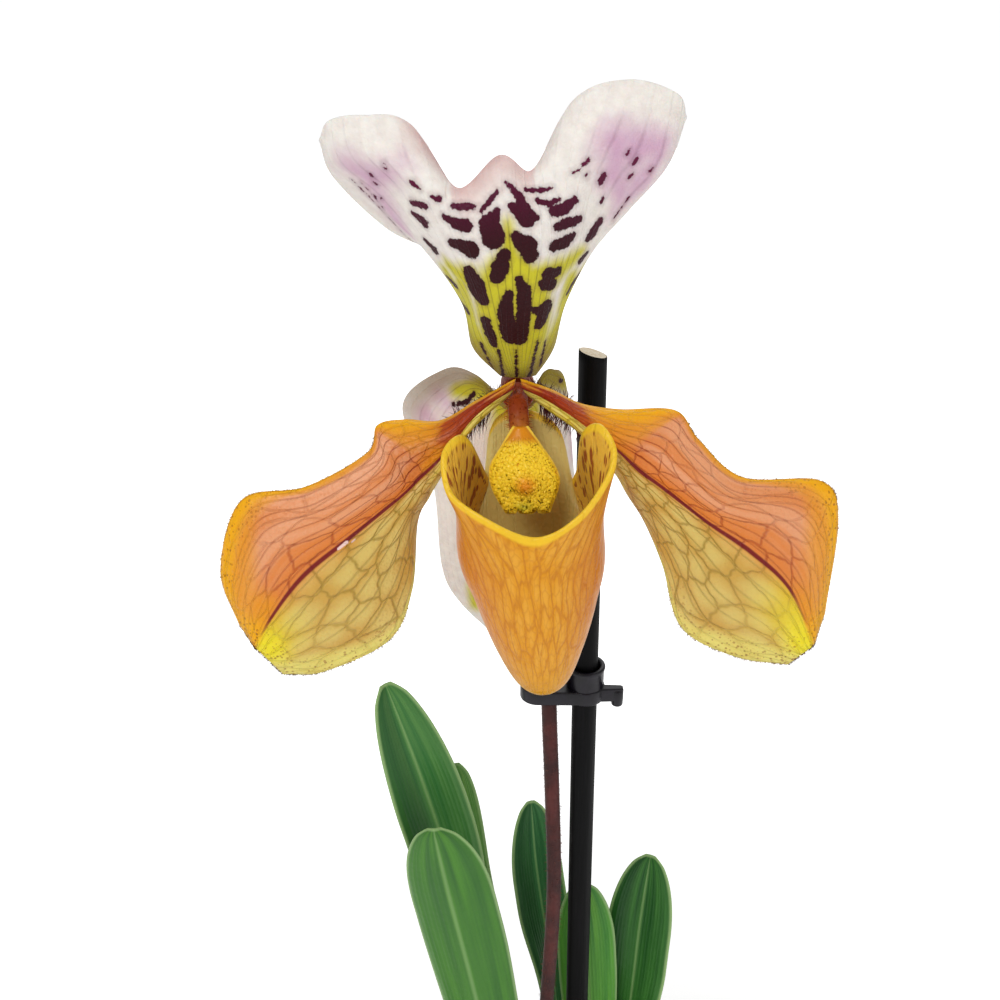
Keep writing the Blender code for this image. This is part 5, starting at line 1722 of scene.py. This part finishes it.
LEAVES = (
    LeafShape(
        "leaf_left_tall",
        ((-16.6, 7.0, 95.0), (-19.0, 9.5, 125.0), (-23.8, 11.0, 160.0), (-30.0, 12.0, 206.0),
         (-35.4, 11.5, 232.0), (-43.4, 11.0, 262.0)),
        8.8, (1.0, 0.0, 0.1), (0.45, -0.9, 0.0),
    ),
    LeafShape(
        "leaf_left_front",
        ((-9.5, -0.8, 95.0), (-13.5, -2.0, 125.0), (-19.0, -2.6, 155.0), (-24.8, -2.4, 188.0),
         (-29.3, -2.8, 213.5), (-32.2, -3.0, 231.8)),
        10.2, (0.0, 1.0, 0.0), (0.1, 1.0, 0.0),
    ),
    LeafShape(
        "leaf_left_back",
        ((-9.0, 14.9, 95.0), (-14.4, 19.2, 130.0), (-21.4, 21.5, 165.0), (-26.8, 21.5, 200.0),
         (-28.2, 22.0, 230.6)),
        6.4, (0.0, -1.0, 0.1), (0.3, -1.0, 0.0),
    ),
    LeafShape(
        "leaf_right_back",
        ((2.0, 21.0, 95.0), (0.4, 23.5, 125.0), (-2.6, 25.0, 157.0), (-5.2, 26.0, 176.0), (-7.6, 27.0, 195.0),
         (-9.0, 28.0, 213.6)),
        6.8, (0.9, -0.4, 0.1), (0.25, -1.0, 0.0),
    ),
    LeafShape(
        "leaf_right_side",
        ((17.2, 17.8, 95.0), (18.0, 18.0, 125.0), (19.4, 18.4, 150.0), (20.6, 19.5, 178.0),
         (22.2, 20.0, 202.6)),
        8.5, (-1.0, 0.0, 0.1), (-0.35, -0.95, 0.0),
    ),
    LeafShape(
        "leaf_right_front",
        ((10.2, 9.9, 95.0), (9.4, 11.2, 120.0), (7.8, 12.6, 150.0), (6.0, 13.4, 176.0), (4.2, 13.6, 199.0)),
        7.6, (0.0, 1.0, 0.0), (0.0, 1.0, 0.0),
    ),
    LeafShape(
        "leaf_low_left_front",
        ((-14.4, 0.6, 90.0), (-26.0, -5.5, 103.0), (-46.0, -14.5, 119.0), (-67.0, -22.0, 124.0),
         (-88.0, -28.0, 117.0)),
        8.4, (0.6, 0.3, 0.8), (0.2, 0.1, 1.0),
    ),
    LeafShape(
        "leaf_low_left_back",
        ((-14.8, 12.8, 90.0), (-26.0, 20.0, 103.0), (-44.0, 31.0, 110.0), (-62.0, 39.0, 107.0),
         (-79.0, 45.0, 97.0)),
        7.8, (0.6, -0.3, 0.8), (0.2, -0.1, 1.0),
    ),
    LeafShape(
        "leaf_low_right_front",
        ((14.8, 11.2, 90.0), (25.5, 2.5, 103.0), (44.0, -10.5, 119.0), (62.0, -22.0, 124.0),
         (80.0, -32.0, 116.0)),
        8.2, (-0.6, 0.4, 0.8), (-0.2, 0.1, 1.0),
    ),
    LeafShape(
        "leaf_low_right_back",
        ((15.4, 23.6, 90.0), (26.0, 29.5, 103.0), (43.0, 37.0, 109.0), (60.0, 42.0, 105.0),
         (76.0, 46.0, 95.0)),
        7.8, (-0.6, -0.3, 0.8), (-0.2, -0.1, 1.0),
    ),
)


LEAF_FINISHES = {
    "leaf_left_tall": LeafFinish(light="5A9048", dark="387438", shaded=(0.48, 0.32)),
    "leaf_left_front": LeafFinish(light="4A861C", dark="2C6414"),
    "leaf_left_back": LeafFinish(light="78A850", dark="4C8A3C"),
    "leaf_right_back": LeafFinish(light="457E48", dark="245C30", shaded=(0.46, 0.34)),
    "leaf_right_side": LeafFinish(light="3F7A30", dark="1F5520", shaded=(0.4, 0.2)),
    "leaf_right_front": LeafFinish(light="62A82C", dark="35801E"),
}


@dataclass
class Foliage:
    """The two growths: their short stems and their strap leaves."""

    effects: Effects
    outline: tuple[float, ...] = (0.52, 0.56, 0.66, 0.8, 0.92, 1.0, 1.0, 1.0, 1.0)
    round_from: float = 0.74
    rows: int = 48
    channels: tuple[float, float] = (0.42, 0.16)
    thickness: float = 1.4
    crown_profile: tuple[tuple[float, float], ...] = (
        (0.3, 24.0), (2.4, 23.4), (4.6, 20.0), (6.0, 12.0), (5.6, 2.0), (4.0, 0.0), (0.3, 0.0),
    )
    crowns: tuple[tuple[str, Point], ...] = (
        ("crown_left", (-9.0, 7.0, 80.0)),
        ("crown_right", (9.5, 17.5, 80.0)),
    )

    def build(self) -> None:
        """Builds every leaf and both stems."""
        places = np.linspace(0, 1, self.rows)
        past = np.clip((places - self.round_from) / (1.003 - self.round_from), 0, 1)
        outline = smooth_line(self.outline, places) * np.sqrt(1 - past**2)
        for shape in LEAVES:
            finish = LEAF_FINISHES.get(shape.node, LeafFinish()).material(shape.node, self.effects)
            widths = outline * shape.half_width
            grid = folded_grid(shape.line, widths, shape.base_face, shape.tip_face, self.channels, 130, 32)
            skin = Skin(grid, self.thickness, front=shape.tip_face, edge_width=2.0)
            add_piece(shape.node + "_fine", skin.mesh(shape.node), finish, Slot.LEAF, shape.node)
        shoot = PlainFinish("shoot_green", "93A858", "5F7A35", 300.0, Surface(roughness=0.45, flesh=0.05))
        for node, foot in self.crowns:
            grid = turned_grid(smooth_line(self.crown_profile, np.linspace(0, 1, 60)), 48, foot)
            add_piece(node + "_fine", capped(node, grid), shoot.material(self.effects), Slot.SHOOT, node)


# Stake and clip


@dataclass
class Stake:
    """The black stake with its slanted cut, and the clip that holds the stem to it."""

    effects: Effects
    radius: float = 2.9
    foot: Point = (4.6, 5.0, 36.0)
    top: Point = (1.0, 5.0, 342.8)
    slant: float = 0.25
    clip_bottom: float = 263.0
    clip_height: float = 3.4
    collar_top: float = 271.5
    collar_radius: float = 4.4
    slack: float = 0.35
    slot_radius: float = 2.45
    slot_left: float = -8.6
    slot_right: float = -5.9
    link_half: float = 3.9
    tab_right: float = 9.1
    tab_radius: float = 1.3
    rounding: float = 0.35

    def build(self) -> None:
        """Builds the stake and the clip."""
        self.stick()
        self.clip()

    def stick(self) -> None:
        """The stake: split grain along it and a pale slanted cut."""
        rows, sides = 220, 48
        foot, top = np.asarray(self.foot), np.asarray(self.top)
        turn = np.linspace(0, 2 * math.pi, sides, endpoint=False)
        rng = np.random.default_rng(11)
        waves = sum(np.sin(turn * k + rng.uniform(0, 6.28)) / k for k in (5, 9, 14, 21))
        places = np.linspace(0, 1, rows)
        drift = np.sin(places[:, None] * 9.0 + turn[None, :] * 2.0)
        radius = self.radius - 0.09 + 0.07 * waves[None, :] * (0.7 + 0.3 * drift)
        centres = foot + (top - foot) * places[:, None]
        x = centres[:, :1] + radius * np.cos(turn)
        y = centres[:, 1:2] + radius * np.sin(turn)
        z = centres[:, 2:] + np.zeros_like(x)
        z[-1] = z[-1] - self.slant * (x[-1] - centres[-1, 0])
        z[-2] = np.minimum(z[-2], z[-1] - 0.3)
        grid = np.stack([x, y, z], -1)
        core = centres[-1] + (grid[-1] - centres[-1]) * 0.9
        core[:, 2] = z[-1]
        around = np.concatenate([grid, core[None] - np.array([0.0, 0.0, -0.12])])
        cut = np.zeros(around.shape[:2])
        cut[-1] = 1.0
        add_piece("stake", capped("stake", around, {"cut": cut}), self.stick_material(), Slot.STICK, "stick")

    def stick_material(self) -> Material:
        """Black stained wood, cream where it is cut."""
        made, recipe, shader = Surface(roughness=0.55, specular=0.12).start("stake_black")
        place = recipe.place()
        fibres = recipe.noise(recipe.stretched(place, (2600.0, 2600.0, 60.0)), 1.0, 4.0, 0.6)
        black = recipe.mix(recipe.step(fibres, 0.45, 0.75), tone("020203"), tone("0C0A0E"))
        cream = recipe.mix(recipe.step(fibres, 0.4, 0.7), tone("FFF3DC"), tone("EBD3A6"))
        colour = recipe.mix(recipe.step(recipe.mark("cut"), 0.45, 0.55), black, cream)
        dress(recipe, shader, colour, fibres, 0.0001)
        return made

    def clip(self) -> None:
        """The clip: a flat link with a slot for the stem, a collar round the stake and a thumb tab."""
        share = (self.clip_bottom + self.clip_height / 2 - self.foot[2]) / (self.top[2] - self.foot[2])
        x = self.foot[0] + (self.top[0] - self.foot[0]) * share
        y = self.foot[1]
        finish = PlainFinish(
            "clip_violet_black", "18131F", "0B0810", 1500.0, Surface(roughness=0.33, specular=0.35), 0.00002
        ).material(self.effects)
        add_piece("clip_link", self.plate(x, y), finish, Slot.PLASTIC, "clip")
        bore, rim, top = self.radius + self.slack, self.collar_radius, self.collar_top
        low = self.clip_bottom + self.clip_height - 1.0
        ring = [
            (bore, low), (bore, top - 0.4), (bore + 0.15, top - 0.1), (bore + 0.4, top), (rim - 0.4, top),
            (rim - 0.1, top - 0.15), (rim, top - 0.5), (rim - 0.15, top - 1.2), (rim - 0.25, top - 1.6),
            (rim - 0.25, low), (bore, low),
        ]
        mesh = capped("clip_collar", turned_grid(ring, 64, (x, y, 0.0)))
        mesh.set_sharp_from_angle(angle=math.radians(50))
        add_piece("clip_collar", mesh, finish, Slot.PLASTIC)
        low, high, side = self.clip_bottom - 1.2, self.clip_bottom + self.clip_height - 0.6, self.tab_radius
        tab = [
            (0.05, high), (side - 0.3, high), (side - 0.08, high - 0.1), (side, high - 0.35),
            (side, low + 0.35), (side - 0.1, low + 0.1), (side - 0.35, low), (0.05, low),
        ]
        mesh = capped("clip_tab", turned_grid(tab, 40, (self.tab_right, y - 1.5, 0.0)))
        add_piece("clip_tab", mesh, finish, Slot.PLASTIC)

    def plate(self, x: float, y: float) -> Mesh:
        """The clip's flat link, its edges rounded.

        Args:
            x: How far right the stake's middle is at the clip's height.
            y: How far back it is.

        Returns:
            The link's mesh.
        """
        rounding = self.rounding
        outline = arc((self.slot_left, y), self.link_half - rounding, 90, 270, 20)
        outline += arc((x, y), self.collar_radius - rounding, 245, 326, 12)
        outline += [(9.7, y - 2.1), (10.0, y - 1.9), (10.0, y - 1.1), (9.7, y - 0.9)]
        outline += arc((x, y), self.collar_radius - rounding, -10, 115, 16)
        slot = arc((self.slot_left, y), self.slot_radius + rounding, 90, 270, 18)
        slot += arc((self.slot_right, y), self.slot_radius + rounding, -90, 90, 18)
        hole = arc((x, y), self.radius + self.slack + rounding, 0, 350, 35)
        curve = bpy.data.curves.new("clip_link", "CURVE")
        curve.dimensions = "2D"
        curve.fill_mode = "BOTH"
        curve.extrude = (self.clip_height / 2 - rounding) * MM
        curve.bevel_depth = rounding * MM
        curve.bevel_resolution = 3
        for closed_line in (outline, slot, hole):
            path = curve.splines.new("POLY")
            path.points.add(len(closed_line) - 1)
            path.use_cyclic_u = True
            for point, (px, py) in zip(path.points, closed_line):
                point.co = (px * MM, py * MM, 0.0, 1.0)
        shape = new_object("clip_link_curve", curve)
        graph = bpy.context.evaluated_depsgraph_get()
        mesh = bpy.data.meshes.new_from_object(shape.evaluated_get(graph))
        bpy.data.objects.remove(shape, do_unlink=True)
        mesh.transform(Matrix.Translation((0.0, 0.0, (self.clip_bottom + self.clip_height / 2) * MM)))
        mesh.shade_smooth()
        mesh.set_sharp_from_angle(angle=math.radians(40))
        return mesh


def arc(
    middle: tuple[float, float], radius: float, start: float, end: float, steps: int
) -> list[tuple[float, float]]:
    """Points of an arc.

    Args:
        middle: Its centre.
        radius: Its radius.
        start: Its first angle, in degrees.
        end: Its last angle.
        steps: Steps between them.

    Returns:
        The points.
    """
    angles = [math.radians(start + (end - start) * step / steps) for step in range(steps + 1)]
    return [(middle[0] + radius * math.cos(angle), middle[1] + radius * math.sin(angle)) for angle in angles]


# Pot and bark


@dataclass
class Potting:
    """The glazed pot and the bark in it."""

    effects: Effects
    height: float = 96.0
    rim_radius: float = 58.0
    foot_radius: float = 41.0
    wall: float = 4.0
    floor: float = 5.0
    bark_top: float = 88.0
    chunk_places: int = 100
    chunk_small: Point = (8.0, 5.0, 3.5)
    chunk_large: Point = (12.0, 8.0, 5.5)
    chunk_round: float = 0.18
    feet: tuple[tuple[float, float], ...] = ((-9.0, 7.0), (9.5, 17.5), (4.6, 5.0))
    clearance: float = 9.0

    def inner_radius(self, height: float) -> float:
        """The pot's inside radius at a height."""
        share = (height - self.floor) / (self.height - self.floor)
        return self.foot_radius - self.wall + share * (self.rim_radius - self.foot_radius)

    def build(self) -> None:
        """Builds the pot and the bark."""
        self.pot()
        self.bark()

    def pot(self) -> None:
        """The pot: faint throwing rings on its wall and a rounded rim."""
        rim = self.wall / 2
        heights = [self.floor + 2.5 + step * 4.0 for step in range(22)]
        inside = [(self.inner_radius(height), height) for height in heights]
        profile = [(0.5, self.floor), (self.inner_radius(self.floor) - 2.0, self.floor), *inside]
        profile += [
            (self.rim_radius - rim - rim * math.cos(angle), self.height - rim + rim * math.sin(angle))
            for angle in np.linspace(0, math.pi, 13)
        ]
        low, high = 3.0, self.height - rim - 1.0
        foot, flare = self.foot_radius, self.rim_radius - self.foot_radius - 0.8
        for place in np.linspace(0.0, 1.0, 60)[1:]:
            height = high + (low - high) * place
            radius = foot + 0.8 + flare * (height - low) / (high - low)
            profile.append((radius - 0.12 - 0.12 * math.sin(height * 1.15), height))
        profile += [(foot + 0.4, 1.6), (foot, 1.0), (foot - 1.2, 0.0), (0.5, 0.0)]
        mesh = capped("pot", turned_grid(profile, 128))
        add_piece("pot_fine", mesh, GlazeFinish().material(self.effects), Slot.GLAZE, "pot")

    def bark(self) -> None:
        """The bark: a packed bed with rough chunks on it."""
        wall = self.inner_radius(self.bark_top) - 0.6
        foot = self.inner_radius(self.floor + 2.5) - 0.5
        profile = [
            (0.5, self.bark_top - 1.6), (wall * 0.3, self.bark_top - 1.8), (wall * 0.6, self.bark_top - 2.2),
            (wall - 3.0, self.bark_top - 3.4), (wall - 1.0, self.bark_top - 6.0), (foot, self.floor + 3.0),
            (foot - 3.0, self.floor + 0.3), (0.5, self.floor + 0.3),
        ]
        material = BarkFinish().material(self.effects)
        bed = capped("bark_bed", turned_grid(profile, 96))
        add_piece("bark_bed", bed, material, Slot.BARK, "potting_bark")
        add_piece("bark_chunks", self.chunks(wall), material, Slot.BARK)

    def chunks(self, wall: float) -> Mesh:
        """The rough chunks of bark, laid in a spiral that leaves room round the stems and the stake.

        Args:
            wall: How far from the middle the bark reaches.

        Returns:
            One mesh of them all.
        """
        rng = np.random.default_rng(8)
        verts, faces = [], []
        golden = math.pi * (3 - math.sqrt(5))
        template = bmesh.new()
        bmesh.ops.create_cube(template, size=1.0)
        bmesh.ops.subdivide_edges(template, edges=template.edges, cuts=5, use_grid_fill=True)
        shape = np.array([vert.co[:] for vert in template.verts])
        template.verts.index_update()
        pattern = [[vert.index for vert in face.verts] for face in template.faces]
        template.free()
        shape = shape * (1 - self.chunk_round) + unit(shape) * 0.62 * self.chunk_round
        for number in range(self.chunk_places):
            radius = (wall - 6.5) * math.sqrt((number + 0.5) / self.chunk_places)
            angle = number * golden
            x, y = radius * math.cos(angle), radius * math.sin(angle)
            if min(math.hypot(x - foot_x, y - foot_y) for foot_x, foot_y in self.feet) < self.clearance:
                continue
            size = rng.uniform(self.chunk_small, self.chunk_large)
            tilt = rng.uniform(-0.35, 0.35, 2)
            yaw = rng.uniform(0, math.pi)
            wave = rng.uniform(0, 6.28, 3)
            rough = 1 + 0.05 * np.sin(shape * 9 + wave) + rng.normal(0, 0.018, shape.shape)
            chunk = shape * rough * size
            turn = rotation(tilt[0], tilt[1], yaw)
            chunk = chunk @ turn.T + np.array([x, y, self.bark_top - 1.2 - 2.0 * (radius / wall) ** 2])
            offset = len(verts)
            verts.extend(chunk.tolist())
            faces.extend([[corner + offset for corner in face] for face in pattern])
        mesh = bpy.data.meshes.new("bark_chunks")
        mesh.from_pydata((np.asarray(verts) * MM).tolist(), [], faces)
        mesh.shade_smooth()
        return mesh


def rotation(about_x: float, about_y: float, about_z: float) -> Array:
    """A rotation matrix from three angles in radians."""
    cx, sx, cy, sy = math.cos(about_x), math.sin(about_x), math.cos(about_y), math.sin(about_y)
    cz, sz = math.cos(about_z), math.sin(about_z)
    turn_x = np.array([[1, 0, 0], [0, cx, -sx], [0, sx, cx]])
    turn_y = np.array([[cy, 0, sy], [0, 1, 0], [-sy, 0, cy]])
    turn_z = np.array([[cz, -sz, 0], [sz, cz, 0], [0, 0, 1]])
    return turn_z @ turn_y @ turn_x


# Camera, lights and floor


@dataclass
class Studio:
    """A white studio: the camera of the photograph, soft lights and a pale floor."""

    view: Viewpoint = VIEW
    floor_size: float = 6.0
    room_light: float = 0.4
    room_seen: float = 0.62
    floor_glow: float = 0.36
    floor_rise: float = 0.65
    rise_from: float = 0.1
    rise_to: float = 0.5

    def build(self) -> None:
        """Builds the camera, the lights and the floor."""
        scene = bpy.context.scene
        lens = bpy.data.cameras.new("camera")
        lens.lens = self.view.lens
        lens.sensor_width = self.view.sensor
        camera = new_object("camera", lens)
        camera.location = Vector(self.view.place) * MM
        camera.rotation_euler = (math.radians(90 - self.view.dip_deg), 0.0, 0.0)
        scene.camera = camera
        scene.view_settings.view_transform = "Standard"
        self.light("key", (-0.35, -0.6, 1.15), 0.5, 5.4)
        self.light("fill", (0.75, -0.65, 0.55), 0.7, 1.6)
        self.light("back", (0.2, 0.7, 0.9), 0.7, 1.6)
        self.backdrop()
        self.floor()

    def light(self, name: str, place: Point, size: float, power: float) -> None:
        """A soft square light that looks at the bloom.

        Args:
            name: Its name.
            place: Where it stands, in metres.
            size: Its side, in metres.
            power: Its power, in watts.
        """
        lamp = bpy.data.lights.new(name, "AREA")
        lamp.size = size
        lamp.energy = power
        made = new_object(name, lamp)
        made.location = place
        aim = Vector(FLOWER) * MM - Vector(place)
        made.rotation_euler = aim.to_track_quat("-Z", "Y").to_euler()

    def backdrop(self) -> None:
        """A white surrounding: full white to the camera, softer as a light."""
        world = bpy.data.worlds.new("white_room")
        world.use_nodes = True
        bpy.context.scene.world = world
        recipe = Recipe(world.node_tree)
        background = world.node_tree.nodes["Background"]
        background.inputs["Color"].default_value = (1.0, 1.0, 1.0, 1.0)
        seen = recipe.node("ShaderNodeLightPath").outputs["Is Camera Ray"]
        strength = recipe.maths("MULTIPLY_ADD", seen, self.room_seen, self.room_light)
        recipe.put(background.inputs["Strength"], strength)

    def floor(self) -> None:
        """The pale floor, which brightens with distance so that it meets the white room without a line."""
        half = self.floor_size / 2
        mesh = bpy.data.meshes.new("floor")
        corners = [(-half, -half, 0), (half, -half, 0), (half, half, 0), (-half, half, 0)]
        mesh.from_pydata(corners, [], [(0, 1, 2, 3)])
        made, recipe, shader = Surface(roughness=0.9, specular=0.1).start("floor_white")
        shader.inputs["Base Color"].default_value = (0.93, 0.93, 0.93, 1.0)
        shader.inputs["Emission Color"].default_value = (1.0, 1.0, 1.0, 1.0)
        seen = recipe.node("ShaderNodeLightPath").outputs["Is Camera Ray"]
        far = recipe.node("ShaderNodeVectorMath", operation="LENGTH")
        recipe.put(far.inputs[0], recipe.place())
        rise = recipe.step(far.outputs["Value"], self.rise_from, self.rise_to, 0.0, self.floor_rise)
        glow = recipe.maths("ADD", recipe.times(rise, seen), self.floor_glow)
        recipe.put(shader.inputs["Emission Strength"], glow)
        new_object("floor", mesh, made)


def main() -> None:
    """Builds the object's looks and the studio."""
    logging.basicConfig(level=logging.INFO, format="%(name)s: %(message)s")
    effects = Effects()
    for maker in (Flower, FlowerStem, Foliage, Stake, Potting):
        maker(effects).build()
    Studio().build()


if __name__ == "__main__":
    main()
